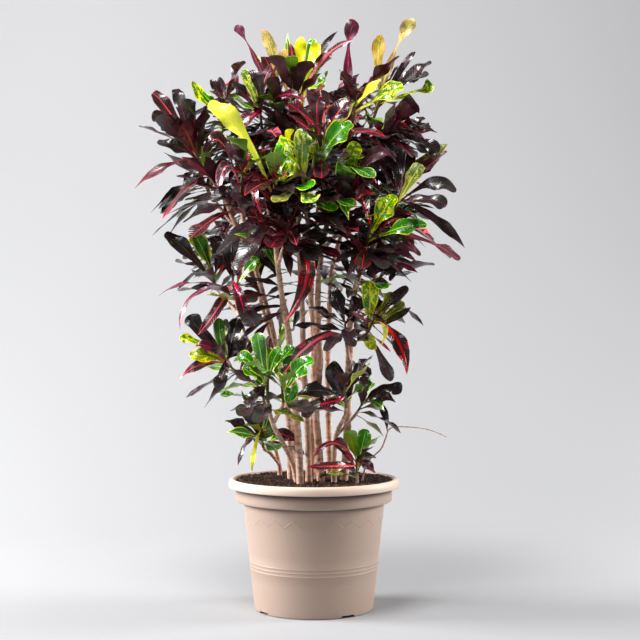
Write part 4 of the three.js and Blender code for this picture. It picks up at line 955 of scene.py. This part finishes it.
def surface_of(name, group, make, inputs, bump, object_place=False, stretch=None):
    """A material on a shared group, with its shader and the group's colour. Heights are
    millimetres, and a group that needs them gets the object's own coordinates."""
    material = bpy.data.materials.new(name)
    material.use_nodes = True
    tree = material.node_tree
    shader = tree.nodes["Principled BSDF"]
    if object_place:
        place = node(tree, "ShaderNodeTexCoord", output="Object")
        if stretch:
            place = node(tree, "ShaderNodeMapping", {"Vector": place, "Scale": stretch}, "Vector")
        inputs = {**inputs, "Coordinates": place}
    made = node(tree, "ShaderNodeGroup", inputs, None, node_tree=bpy.data.node_groups.get(group) or make())
    feed(shader, {
        "Base Color": made["Color"], "Roughness": made["Roughness"],
        "Normal": node(tree, "ShaderNodeBump", {"Height": made["Height"], "Strength": bump, "Distance": MM},
                       "Normal")})
    return material, shader, made["Color"]


def weathered(name, colour, stain, blotch, grain, amount, roughness, bump, stretch=None):
    return surface_of(name, "Weathering", weather_group, {
        "Colour": colour, "Stain": stain, "Blotch Scale": blotch, "Grain Scale": grain, "Amount": amount,
        "Base Roughness": roughness}, bump, True, stretch)


# How strong the waxy coat is on the paler leaves and on the others, and how rough it is
COATS = {"yellow": 0.1, "lime": 0.3, "ochre": 0.15}
COAT = 0.45
COAT_ROUGHNESS = 0.17


def leaf_material(tone, look):
    material, shader, _ = surface_of(f"leaf_{tone}", "Leaf blade", leaf_group, look, bump=0.9)
    feed(shader, {"Coat Weight": COATS.get(tone, COAT), "Coat Roughness": COAT_ROUGHNESS})
    return material


def rgb(*values):
    """A colour from its 0 to 255 screen values."""
    linear = [v / 255 / 12.92 if v <= 10 else ((v / 255 + 0.055) / 1.055) ** 2.4 for v in values]
    return (*linear, 1.0)


# The look of each tone of leaf: the screen colours of its parts, how patchy it is and how rough
LEAF_PARTS = ["Blade", "Second", "Rib", "Patch", "Margin", "Under"]
LEAF_LOOKS = {
    "dark": ([(38, 30, 33), (37, 45, 40), (112, 34, 48), (66, 34, 40), (58, 30, 35), (60, 34, 40)],
             0.12, 0.24),
    "redrib": ([(38, 34, 34), (48, 30, 35), (240, 52, 74), (160, 36, 52), (156, 36, 54), (70, 34, 41)],
               0.2, 0.25),
    "red": ([(42, 42, 37), (52, 34, 36), (236, 62, 76), (190, 40, 56), (104, 38, 46), (214, 48, 64)],
            0.08, 0.26),
    "maroon": ([(100, 40, 58), (64, 34, 44), (176, 52, 78), (140, 44, 66), (120, 44, 62), (96, 42, 56)],
               0.3, 0.3),
    "green": ([(56, 150, 36), (24, 96, 28), (206, 236, 96), (150, 206, 40), (236, 242, 76), (116, 164, 56)],
              0.2, 0.22),
    "lime": ([(84, 162, 34), (44, 124, 30), (250, 244, 70), (244, 244, 48), (252, 248, 76), (186, 206, 74)],
             0.5, 0.27),
    "yellow": ([(255, 255, 0), (255, 255, 10), (250, 244, 70), (160, 200, 30), (252, 246, 40),
                (252, 250, 30)], 0.1, 0.34),
    "ochre": ([(208, 168, 66), (198, 180, 84), (236, 214, 116), (128, 140, 58), (206, 138, 74),
               (206, 176, 100)], 0.45, 0.3),
    "olive": ([(84, 120, 34), (124, 140, 44), (236, 220, 76), (214, 212, 60), (230, 212, 64), (140, 146, 70)],
              0.4, 0.26),
}

# How much wider than the others the ribs of a tone are
RIB_SHARES = {"redrib": 1.7, "red": 3.4, "maroon": 1.2}


# Pieces

def add_object(name, data):
    """A new object in the scene."""
    made = bpy.data.objects.new(name, data)
    bpy.context.scene.collection.objects.link(made)
    return made


def place_piece(mesh, name, nodes):
    """Links a finished mesh and ties it to the frame."""
    mesh.name = name
    piece = add_object(name, mesh)
    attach(piece, BODY)
    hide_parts(*nodes)


def applied(piece):
    """The plain mesh of a piece with its modifiers applied."""
    depsgraph = bpy.context.evaluated_depsgraph_get()
    mesh = bpy.data.meshes.new_from_object(piece.evaluated_get(depsgraph), depsgraph=depsgraph)
    bpy.data.objects.remove(piece)
    return mesh


def run_tree(data, tree, values):
    """The plain mesh that a geometry tree makes from a curve or mesh with its inputs set."""
    source = add_object("source", data)
    modifier = source.modifiers.new(tree.name, "NODES")
    modifier.node_group = tree
    for item in tree.interface.items_tree:
        if item.item_type == "SOCKET" and item.in_out == "INPUT" and item.name in values:
            modifier[item.identifier] = values[item.name]
    source.update_tag()
    return applied(source)


def mesh_of(name, places, faces, material=None):
    """A mesh in metres from places in millimetres."""
    mesh = bpy.data.meshes.new(name)
    mesh.from_pydata((np.array(places, float) * MM).tolist(), [], faces)
    if material:
        mesh.materials.append(material)
    return mesh


def lathe(rows, sides, shift=None):
    """Vertices and faces of a turned skin. Rows are (radius, height) from one pole to the
    other, and shift(k, turn) gives the (radius, height) of a corner of row k."""
    turns = np.linspace(0, 2 * math.pi, sides, endpoint=False)
    places, starts = [], []
    for k, (radius, height) in enumerate(rows):
        starts.append(len(places))
        if radius == 0:
            places.append((0, 0, height))
            continue
        for turn in turns:
            r, z = shift(k, turn) if shift else (radius, height)
            places.append((r * math.sin(turn), -r * math.cos(turn), z))
    faces = []
    for k in range(len(rows) - 1):
        a, b = starts[k], starts[k + 1]
        for i in range(sides):
            j = (i + 1) % sides
            if rows[k][0] == 0:
                faces.append([a, b + j, b + i])
            elif rows[k + 1][0] == 0:
                faces.append([a + i, a + j, b])
            else:
                faces.append([a + i, a + j, b + j, b + i])
    return places, faces


def taper(z):
    """The radius of the pot's tapered wall at a height."""
    slope = (POT["body"] - POT["foot"]) / (POT["body_top"] - POT["bevel"])
    return POT["foot"] + slope * (z - POT["bevel"])


def pot_rows():
    """The pot's profile: rows of (radius, height), and which of them follow the zigzag."""
    rows = [(0, 0), (POT["under"], 0)]
    for turn in np.linspace(0, math.pi / 2, 5):
        rows.append((POT["foot"] - POT["bevel"] * (1 - math.sin(turn)), POT["bevel"] * (1 - math.cos(turn))))
    rows += [(taper(z), z) for z in WALL_ROWS["low"]]
    for middle in RINGS["heights"]:
        for f in RINGS["steps"]:
            z = middle + f * RINGS["half"]
            rows.append((taper(z) + RINGS["relief"] * (0.5 + 0.5 * math.cos(math.pi * f)), z))
    rows += [(taper(z), z) for z in WALL_ROWS["middle"]]
    first = len(rows)
    for f in ZIGZAG["steps"]:
        z = ZIGZAG["middle"] + f * ZIGZAG["half"]
        rows.append((taper(z) + ZIGZAG["relief"] * (1 - abs(f) ** 3), z))
    zigzag = range(first, len(rows))
    rows += [(taper(z), z) for z in WALL_ROWS["high"]]
    lip = [np.array(p, float) for p in LIP]
    for t in np.arange(0, len(lip) - 1 + 0.01, LIP_STEP):
        rows.append(tuple(along(lip, min(t, len(lip) - 1))))
    return rows + INSIDE[::-1] + [(0, POT["floor"])], zigzag


def pot_mesh(material):
    rows, zigzag = pot_rows()

    def shift(k, turn):
        radius, height = rows[k]
        if k not in zigzag:
            return radius, height
        wave = (turn / (2 * math.pi) * ZIGZAG["periods"]) % 1
        z = height + ZIGZAG["swing"] * (4 * abs(wave - 0.5) - 1)
        return radius - taper(height) + taper(z), z
    return mesh_of("pot", *lathe(rows, ZIGZAG["periods"] * 10, shift), material)


def cutter_mesh():
    """The foot's notches, drain channels and drain holes."""
    notch_from = POT["foot"] - NOTCH["depth"]
    shapes = []
    for low, high, width, height in (
            (notch_from, POT["foot"] + NOTCH["past"], NOTCH["width"], NOTCH["height"]),
            (DRAIN["ring"], notch_from + 1, DRAIN["width"], DRAIN["height"])):
        corners = [(x, y, z) for x in (low, high) for y in (-width / 2, width / 2) for z in (-height, height)]
        shapes.append((corners, [[0, 1, 3, 2], [4, 6, 7, 5], [0, 4, 5, 1], [2, 3, 7, 6], [0, 2, 6, 4],
                                 [1, 5, 7, 3]]))
    sides = SIDES["drain"]
    ring = [(DRAIN["ring"] + DRAIN["radius"] * math.cos(a), DRAIN["radius"] * math.sin(a))
            for a in np.linspace(0, 2 * math.pi, sides, endpoint=False)]
    corners = [(x, y, z) for z in (-DRAIN["reach"], DRAIN["reach"]) for x, y in ring]
    sleeve = [[i, (i + 1) % sides, sides + (i + 1) % sides, sides + i] for i in range(sides)]
    shapes.append((corners, sleeve + [list(range(sides))[::-1], list(range(sides, 2 * sides))]))
    places, faces = [], []
    for turn in NOTCH["turns"]:
        cos, sin = math.cos(turn), math.sin(turn)
        for corners, loops in shapes:
            faces += [[len(places) + i for i in loop] for loop in loops]
            places += [(x * cos - y * sin, x * sin + y * cos, z) for x, y, z in corners]
    return mesh_of("cutters", places, faces)


# Painted shade in the creases of the pot, under the lip and under the collar, in millimetres: the height of
# each band, how far the painted shade reaches down, the radius that it stays within, and how much of it there
# is
PAINTED_SHADE_BANDS = [(238, 21, 154.2, 1.0), (209.5, 12, 141, 0.65)]


def pot_material(settings):
    material, shader, colour = weathered(
        "pot_plastic", settings.colour, settings.stain, blotch=9.0, grain=900.0, amount=0.35,
        roughness=settings.roughness, bump=0.12)
    x, y, z = node(colour.tree, "ShaderNodeTexCoord", output="Object").split()
    out = (x * x + y * y).math("SQRT")
    # painted light: the lip above its base is paler, standing in for the light that falls on its upturned
    # roll
    colour = z.ramp((POT["lip_base"] + 0.2) * MM, (POT["lip_base"] + 0.6) * MM).mix(colour, settings.rim)
    # painted shade: darker bands just under the lip and under the collar, where their shadows fall
    for *places, amount in PAINTED_SHADE_BANDS:
        top, deep, within = (place * MM for place in places)
        mask = (z.ramp(top - deep, top) ** 2.0 * z.ramp(top + 0.2 * MM, top + 0.4 * MM, 1.0, 0.0)
                * out.ramp(within, within + 0.4 * MM, 1.0, 0.0))
        colour = (mask * amount).mix(colour, settings.painted_shade)
    feed(shader, {"Base Color": colour})
    return material


def make_pot(settings):
    """The pot with its foot cut by notches and drain holes."""
    pot = add_object("source", pot_mesh(pot_material(settings)))
    cutters = add_object("cutters", cutter_mesh())
    cut = pot.modifiers.new("notches", "BOOLEAN")
    cut.operation, cut.object, cut.solver, cut.use_self = "DIFFERENCE", cutters, "EXACT", True
    mesh = applied(pot)
    bpy.data.objects.remove(cutters)
    mesh.shade_smooth()
    mesh.set_sharp_from_angle(angle=POT_EDGE)
    place_piece(mesh, "moulded_pot", ["pot"])


def soil_tree():
    """Heaves a soil surface and scatters crumbs over it."""
    tree, given, end = shape_tree("Crumbly soil", {
        "Heave": 0.004, "Density": 30000.0, "Crumb": 0.003, "Seed": 3})
    position, normal = (node(tree, kind) for kind in ("GeometryNodeInputPosition", "GeometryNodeInputNormal"))
    height, up = (list(vector.split())[2] for vector in (position, normal))

    def above(value, least):
        return node(tree, "FunctionNodeCompare", {0: value, 1: least}, operation="GREATER_THAN")

    def draw(low, high, seed):
        return node(tree, "FunctionNodeRandomValue", {0: low, 1: high, "Seed": seed},
                    data_type="FLOAT_VECTOR")

    on_top = above(height, (SOIL["middle"] - 2) * MM)
    rise = position.noise(22.0, 2.0) - 0.5 + (position.noise(160.0, 3.0, 0.7) - 0.5) * 0.7
    heaved = node(tree, "GeometryNodeSetPosition", {
        "Geometry": given["Geometry"], "Selection": on_top,
        "Offset": node(tree, "ShaderNodeCombineXYZ", {2: rise * given["Heave"]})})
    flat = node(tree, "FunctionNodeBooleanMath", {0: above(up, 0.6), 1: on_top}, operation="AND")
    points = node(tree, "GeometryNodeDistributePointsOnFaces", {
        "Mesh": heaved, "Selection": flat, "Density": given["Density"], "Seed": given["Seed"]}, "Points")
    crumbs = node(tree, "GeometryNodeInstanceOnPoints", {
        "Points": points, "Scale": draw((0.25, 0.25, 0.2), (1.0, 0.8, 0.6), 5),
        "Instance": node(tree, "GeometryNodeMeshIcoSphere", {"Radius": given["Crumb"], "Subdivisions": 1}),
        "Rotation": node(tree, "FunctionNodeEulerToRotation", {0: draw((0, 0, 0), (6.3, 6.3, 6.3), 6)})})
    shade = node(tree, "FunctionNodeRandomValue", {2: 0.0, 3: 1.0, "Seed": 9}, 1, data_type="FLOAT")
    crumbs = node(tree, "GeometryNodeStoreNamedAttribute", {
        "Geometry": crumbs, "Name": "crumb", "Value": shade}, data_type="FLOAT", domain="INSTANCE")
    joined = tree.nodes.new("GeometryNodeJoinGeometry")
    for part in (heaved, crumbs):
        feed(joined, {0: part})
    return finish_shape(Value(joined.outputs[0]), given["Material"], end)


def soil_material(settings):
    material, shader, colour = weathered(
        "soil", settings.colour, settings.dark, blotch=110.0, grain=500.0, amount=0.9, roughness=0.9,
        bump=1.0)
    crumb = node(colour.tree, "ShaderNodeAttribute", output="Fac", attribute_name="crumb")
    colour = crumb.ramp(0.76, 0.98).mix(colour, settings.light)
    feed(shader, {"Base Color": (crumb.ramp(0.0, 0.6) * 0.35).mix(colour, settings.colour)})
    return material


def make_soil(settings):
    """The root ball in the pot, heaved on top and covered in crumbs."""
    rows = [(0, POT["floor"] + GAP)]
    rows += [(r + out * GAP, z + up * GAP) for (r, z), (out, up) in zip(INSIDE, SOIL_GAPS)]
    across, heights = zip(*SOIL["dish"])
    rows += [(r, np.interp(r, across, heights))
             for r in np.linspace(across[-1], SOIL["innermost"], SOIL["rows"])]
    rows.append((0, SOIL["middle"]))
    material = soil_material(settings)
    mesh = run_tree(mesh_of("soil", *lathe(rows, SIDES["soil"])), soil_tree(), {
        "Heave": settings.heave, "Density": settings.density, "Crumb": settings.crumb, "Material": material})
    place_piece(mesh, "crumbly_soil", ["soil"])


def scars_of(place, run, spacing, power):
    """Leaf scars round a stem, spaced along its run but drifting with the place."""
    phase = place.noise(22.0, 2.0).math("MULTIPLY_ADD", 3.0, run / spacing)
    return abs((phase * math.pi).math("SINE")) ** power


def stem_tree():
    """Sweeps a bark skin along curves, with their radii, leaf scars and furrows."""
    tree, given, end = shape_tree("Barked stem", {"Step": 0.004, "Sides": 12, "Scar Spacing": 0.014,
                                                  "Furrow": 0.0006})
    curve = node(tree, "GeometryNodeResampleCurve", {"Curve": given["Geometry"], "Length": given["Step"]},
                 mode="LENGTH")
    run = node(tree, "GeometryNodeSplineParameter", output="Length")
    curve = node(tree, "GeometryNodeStoreNamedAttribute", {"Geometry": curve, "Name": "run", "Value": run},
                 data_type="FLOAT", domain="POINT")
    ring = node(tree, "GeometryNodeCurvePrimitiveCircle", {"Resolution": given["Sides"], "Radius": 1.0})
    skin = node(tree, "GeometryNodeCurveToMesh", {
        "Curve": curve, "Profile Curve": ring, "Scale": node(tree, "GeometryNodeInputRadius"),
        "Fill Caps": True})
    position, normal = (node(tree, kind) for kind in ("GeometryNodeInputPosition", "GeometryNodeInputNormal"))
    kept = node(tree, "GeometryNodeInputNamedAttribute", {"Name": "run"}, data_type="FLOAT")
    stretched = node(tree, "ShaderNodeVectorMath", {0: position, 1: (1.0, 1.0, 0.35)}, operation="MULTIPLY")
    swelling = position.noise(45.0, 1.0) - 0.5
    amount = (swelling.math("MULTIPLY_ADD", 2.0, stretched.noise(260.0, 2.0, 0.6) - 0.5)
              + scars_of(position, kept, given["Scar Spacing"], 8.0) * 0.5)
    offset = node(tree, "ShaderNodeVectorMath", {0: normal, "Scale": amount * given["Furrow"]},
                  operation="SCALE")
    shaped = node(tree, "GeometryNodeSetPosition", {"Geometry": skin, "Offset": offset})
    smooth = node(tree, "GeometryNodeSetShadeSmooth", {"Geometry": shaped})
    return finish_shape(smooth, given["Material"], end)


def bark_material(settings):
    material, shader, colour = weathered(
        "bark", settings.bark, settings.bark_dark, blotch=120.0, grain=500.0, amount=0.55, roughness=0.78,
        bump=0.9, stretch=STRETCH)
    run = node(colour.tree, "ShaderNodeAttribute", output="Fac", attribute_name="run")
    place = node(colour.tree, "ShaderNodeTexCoord", output="Object")
    # pale blotches and dark knots of no even spacing, then the leaf scars, most of them faint
    pale = place.noise(75.0, 3.0, 0.65).ramp(0.52, 0.66) * 0.75
    knot = place.noise(48.0, 2.0, 0.5).ramp(0.6, 0.7) * 0.7
    scar = (scars_of(place, run, settings.scar_spacing, 14.0)
            * place.noise(30.0, 1.0).ramp(0.4, 0.6, 0.1, 0.6))
    for mask, over in ((pale, settings.scar), (knot, settings.bark_dark), (scar, settings.bark_dark)):
        colour = mask.mix(colour, over)
    feed(shader, {"Base Color": colour})
    return material


def stem_lines():
    """The smooth lines and radii of every woody node's stems, in metres."""
    lines = {}
    for stem in STEMS + [TWIG]:
        full = [seen(p) for p in stem.line + ([stem.tip] if stem.tip else [])]
        last = len(stem.line) - 1
        ts = np.linspace(0, last, last * STEM_STEPS + 1)
        places = [along(full, t) for t in ts]
        at_foot, at_end = stem.radii
        radii = [at_foot + (at_end - at_foot) * t / last for t in ts]
        if stem.wood not in lines:
            x, y = full[0][:2]
            foot = [np.array([x, y, z]) for z in (SOIL["middle"] - SOIL["hole_depth"] + GAP, SOIL["middle"])]
            places = foot + [p for p in places if p[2] > SOIL["rim"] + STEM_CLEAR]
            radii = [at_foot] * 2 + radii[-len(places) + 2:]
        lines.setdefault(stem.wood, []).append((np.array(places) * MM, np.array(radii) * MM))
    return lines


def make_stems(settings):
    """Every woody stem with its branches, swept along its smooth lines."""
    material = bark_material(settings)
    tree = stem_tree()
    for name, splines in stem_lines().items():
        curve = bpy.data.curves.new(name, "CURVE")
        curve.dimensions = "3D"
        for places, radii in splines:
            spline = curve.splines.new("POLY")
            spline.points.add(len(places) - 1)
            for point, place, radius in zip(spline.points, places, radii):
                point.co, point.radius = (*place, 1.0), radius
        thin = name == "twig"
        mesh = run_tree(curve, tree, {
            "Step": settings.step, "Sides": SIDES["twig" if thin else "stem"],
            "Scar Spacing": settings.scar_spacing, "Furrow": settings.furrow * (0.3 if thin else 1),
            "Material": material})
        place_piece(mesh, f"barked_{name}", [name])


def look_of(settings, tone):
    """The look of a tone, with the parts that a user may change."""
    colours, patches, gloss = LEAF_LOOKS[tone]
    look = {part: rgb(*colour) for part, colour in zip(LEAF_PARTS, colours)}
    if tone == "dark":
        look["Blade"] = settings.dark
    return {**look, "Patches": patches, "Gloss": gloss, "Vein Colour": settings.vein_colour,
            "Rib Width": settings.rib_width * RIB_SHARES.get(tone, 1), "Margin Width": settings.margin_width}


def make_leaves(settings):
    """Every leafy shoot: its green stem, the frame's leaves and the extra ones."""
    materials = {tone: leaf_material(tone, look_of(settings, tone)) for tone in LEAF_LOOKS}
    skin = weathered("green_stem", settings.stem, settings.stem_brown, blotch=60.0, grain=700.0, amount=0.8,
                     roughness=0.5, bump=0.4, stretch=STRETCH)[0]
    for number, (stem, kept) in enumerate(zip(STEMS, grown_leaves(settings.extras))):
        name = f"shoot_{number + 1:02d}"
        places, start = shoot_line(stem)
        growth = Growth()
        used = sorted({leaf["tone"] for _, leaf in kept})
        stops = []
        foot = stem.radii[1]
        for t in np.linspace(0, 1, SHOOT_STOPS):
            radius = np.interp(t, [0, 0.5, 1], [foot, foot * SHOOT_MIDDLE, SHOOT_END])
            stops.append((along(places, start + t), heading_at(places, start + min(t, 0.99)), radius))
        grow_stem(growth, stops, SIDES["shoot"], 0)
        for n, leaf in kept:
            seed = ((number * 17 + n * 29) % 101) / 100
            grid = FINE if n < stem.spirals[0] + len(stem.aimed) else PLAIN
            grow_blade(growth, leaf, 1 + used.index(leaf["tone"]), seed, grid)
        mesh = growth.mesh(f"leafy_{name}", [skin] + [materials[tone] for tone in used])
        place_piece(mesh, f"leafy_{name}", [name])


# The floor and backdrop, in metres: where the floor starts and sweeps up, the sweep's radius,
# the backdrop's top and the half width
SWEEP = {"front": -6.0, "from": 0.9, "radius": 2.5, "top": 6.0, "half": 7}

# The lights, in metres: the place of each, what it is aimed at and its size, then the setting
# that gives its power and its share of that
PLANT = (0, 0, 0.6)
LIGHTS = {
    "left_light": ((-2.7, 0.15, 1.3), PLANT, 1.3, "left_light", 1),
    "front_light": ((-1.2, -2.4, 2.2), PLANT, 1.2, "front_light", 1),
    "right_light": ((2.8, 0.35, 1.3), PLANT, 1.1, "right_light", 1),
    "top_light": ((-0.5, -1.05, 3.1), PLANT, 1.0, "top_light", 1),
    "back_left_light": ((-2.0, 0.9, 2.8), (-1.2, 3.4, 2.1), 1.6, "back_light", 1),
    "back_right_light": ((1.6, 0.9, 2.8), (1.3, 3.4, 2.1), 1.2, "back_light", 0.3),
}


def make_stage(settings):
    """A pale floor that sweeps up behind the plant, soft lights and the camera."""
    scene, start, radius = bpy.context.scene, SWEEP["from"], SWEEP["radius"]
    rows = [(SWEEP["front"], 0.0), (start, 0.0)]
    rows += [(start + radius * math.sin(a), radius * (1 - math.cos(a)))
             for a in np.linspace(0, math.pi / 2, 33)[1:]]
    rows.append((start + radius, SWEEP["top"]))
    places = [(x * 1000, y * 1000, z * 1000) for y, z in rows for x in (-SWEEP["half"], SWEEP["half"])]
    faces = [[2 * k, 2 * k + 1, 2 * k + 3, 2 * k + 2] for k in range(len(rows) - 1)]
    material = weathered("floor", settings.floor, settings.floor, blotch=3.0, grain=200.0, amount=0.2,
                         roughness=0.7, bump=0.02)[0]
    mesh = mesh_of("floor", places, faces, material)
    mesh.shade_smooth()
    floor = add_object("floor", mesh)
    scene.view_settings.view_transform = "Standard"
    for name, (place, aim, size, power, share) in LIGHTS.items():
        lamp = bpy.data.lights.new(name, "AREA")
        lamp.size, lamp.energy = size, getattr(settings, power) * share
        light = add_object(name, lamp)
        light.location = place
        light.rotation_euler = (Vector(aim) - Vector(place)).to_track_quat("-Z", "Y").to_euler()
    world = bpy.data.worlds.new("studio")
    world.use_nodes = True
    feed(world.node_tree.nodes["Background"], {"Color": (1, 1, 1, 1), "Strength": settings.sky})
    scene.world = world
    lens = bpy.data.cameras.new("camera")
    lens.sensor_width = SENSOR
    lens.lens = SENSOR * VIEW["focal"] / VIEW["wide"]
    lens.clip_start, lens.clip_end = 0.05, 30
    scene.camera = add_object("camera", lens)
    scene.camera.location = (VIEW["offset"] * MM, -VIEW["distance"] * MM, VIEW["height"] * MM)
    scene.camera.rotation_euler = (math.radians(90), 0, 0)


# The add-on

def colour_setting(name, about, default):
    return FloatVectorProperty(name=name, description=about, default=default, subtype="COLOR", size=4,
                               min=0, max=1)


class CrotonPot(bpy.types.PropertyGroup):
    colour: colour_setting("Plastic", "Colour of the moulded plastic", rgb(170, 147, 132))
    stain: colour_setting("Stain", "Colour of its blotches and fine specks", rgb(174, 148, 134))
    # The rim colour is painted light: the lip made paler for the light that falls on its top
    rim: colour_setting("Rim", "Colour of its paler rim", rgb(212, 187, 170))
    # Colour of the painted shade in the creases under the lip and the collar
    painted_shade: colour_setting("Painted shade", "Colour of the dust in its creases", rgb(46, 36, 31))
    roughness: FloatProperty(name="Roughness", description="Roughness of the plastic", default=0.5,
                             min=0, max=1)


class CrotonSoil(bpy.types.PropertyGroup):
    colour: colour_setting("Soil", "Colour of the damp soil", rgb(50, 32, 22))
    dark: colour_setting("Shade", "Colour of its darkest specks", rgb(14, 9, 7))
    light: colour_setting("Chips", "Colour of the paler chips in it", rgb(156, 94, 54))
    heave: FloatProperty(name="Heave", description="Height of the uneven surface", default=0.005,
                         unit="LENGTH")
    crumb: FloatProperty(name="Crumb", description="Largest radius of a crumb", default=0.004, unit="LENGTH")
    density: FloatProperty(name="Density", description="Crumbs on a square metre", default=26000)


class CrotonStems(bpy.types.PropertyGroup):
    bark: colour_setting("Bark", "Colour of the bark", rgb(228, 182, 156))
    bark_dark: colour_setting("Furrows", "Colour of the bark's furrows", rgb(116, 80, 64))
    scar: colour_setting("Scars", "Colour of the leaf scars", rgb(244, 224, 208))
    scar_spacing: FloatProperty(name="Scar spacing", description="Distance between leaf scars", default=0.013,
                                unit="LENGTH")
    furrow: FloatProperty(name="Furrow", description="Depth of the bark's relief", default=0.001,
                          unit="LENGTH")
    step: FloatProperty(name="Step", description="Distance between rings of the skin", default=0.004,
                        unit="LENGTH")


class CrotonLeaves(bpy.types.PropertyGroup):
    dark: colour_setting("Dark leaf", "Colour of the darkest blades", rgb(*LEAF_LOOKS["dark"][0][0]))
    stem: colour_setting("Green stem", "Colour of the young stems", rgb(92, 84, 52))
    stem_brown: colour_setting("Brown stem", "Colour of the older parts of the young stems", rgb(104, 78, 58))
    rib_width: FloatProperty(name="Rib", description="Half width of the rib in millimetres", default=1.15)
    margin_width: FloatProperty(name="Margin", description="Width of the margin in millimetres", default=1.8)
    vein_colour: FloatProperty(name="Veins", description="How much of the rib's colour its side veins have",
                               default=0.14, min=0, max=1, subtype="FACTOR")
    extras: IntProperty(name="Extra leaves", description="Leaves added to each shoot of the crown",
                        default=32, min=0)


class CrotonStage(bpy.types.PropertyGroup):
    floor: colour_setting("Floor", "Colour of the floor and backdrop", rgb(154, 154, 156))
    left_light: FloatProperty(name="Left light", description="Power of the left light", default=178,
                              unit="POWER")
    front_light: FloatProperty(name="Front light", description="Power of the light above the camera",
                               default=18, unit="POWER")
    right_light: FloatProperty(name="Right light", description="Power of the right light", default=108,
                               unit="POWER")
    top_light: FloatProperty(name="Top light", description="Power of the light from above", default=102,
                             unit="POWER")
    back_light: FloatProperty(name="Back light", description="Power of the light on the backdrop", default=92,
                              unit="POWER")
    sky: FloatProperty(name="Sky", description="Strength of the light from all round", default=0.04, min=0)


class CROTON_OT_pot(bpy.types.Operator):
    """Make the moulded pot"""
    bl_idname = "croton.pot"
    bl_label = "Pot"

    def execute(self, context):
        make_pot(context.scene.croton_pot)
        return {"FINISHED"}


class CROTON_OT_soil(bpy.types.Operator):
    """Fill the pot with crumbly soil"""
    bl_idname = "croton.soil"
    bl_label = "Soil"

    def execute(self, context):
        make_soil(context.scene.croton_soil)
        return {"FINISHED"}


class CROTON_OT_stems(bpy.types.Operator):
    """Grow the barked stems and the dead twig"""
    bl_idname = "croton.stems"
    bl_label = "Stems"

    def execute(self, context):
        make_stems(context.scene.croton_stems)
        return {"FINISHED"}


class CROTON_OT_leaves(bpy.types.Operator):
    """Grow the leafy shoots"""
    bl_idname = "croton.leaves"
    bl_label = "Leaves"

    def execute(self, context):
        make_leaves(context.scene.croton_leaves)
        return {"FINISHED"}


class CROTON_OT_stage(bpy.types.Operator):
    """Lay the floor and set up the lights and the camera"""
    bl_idname = "croton.stage"
    bl_label = "Stage"

    def execute(self, context):
        make_stage(context.scene.croton_stage)
        return {"FINISHED"}


SECTIONS = {
    "croton_pot": (CrotonPot, CROTON_OT_pot),
    "croton_soil": (CrotonSoil, CROTON_OT_soil),
    "croton_stems": (CrotonStems, CROTON_OT_stems),
    "croton_leaves": (CrotonLeaves, CROTON_OT_leaves),
    "croton_stage": (CrotonStage, CROTON_OT_stage),
}


class CROTON_PT_panel(bpy.types.Panel):
    """The potted croton's pieces and their settings"""
    bl_idname = "CROTON_PT_panel"
    bl_label = "Potted Croton"
    bl_space_type = "VIEW_3D"
    bl_region_type = "UI"
    bl_category = "Croton"

    def draw(self, context):
        for name, (group, operator) in SECTIONS.items():
            box = self.layout.box()
            for key in group.__annotations__:
                box.prop(getattr(context.scene, name), key)
            box.operator(operator.bl_idname)


CLASSES = [*(group for group, _ in SECTIONS.values()), *(op for _, op in SECTIONS.values()), CROTON_PT_panel]


def register():
    for cls in CLASSES:
        bpy.utils.register_class(cls)
    for name, (group, _) in SECTIONS.items():
        setattr(bpy.types.Scene, name, PointerProperty(type=group))


def unregister():
    for name in SECTIONS:
        delattr(bpy.types.Scene, name)
    for cls in reversed(CLASSES):
        bpy.utils.unregister_class(cls)


def main():
    register()
    for name in ("stage", "pot", "soil", "stems", "leaves"):
        getattr(bpy.ops.croton, name)()
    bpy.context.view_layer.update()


if __name__ == "__main__":
    main()
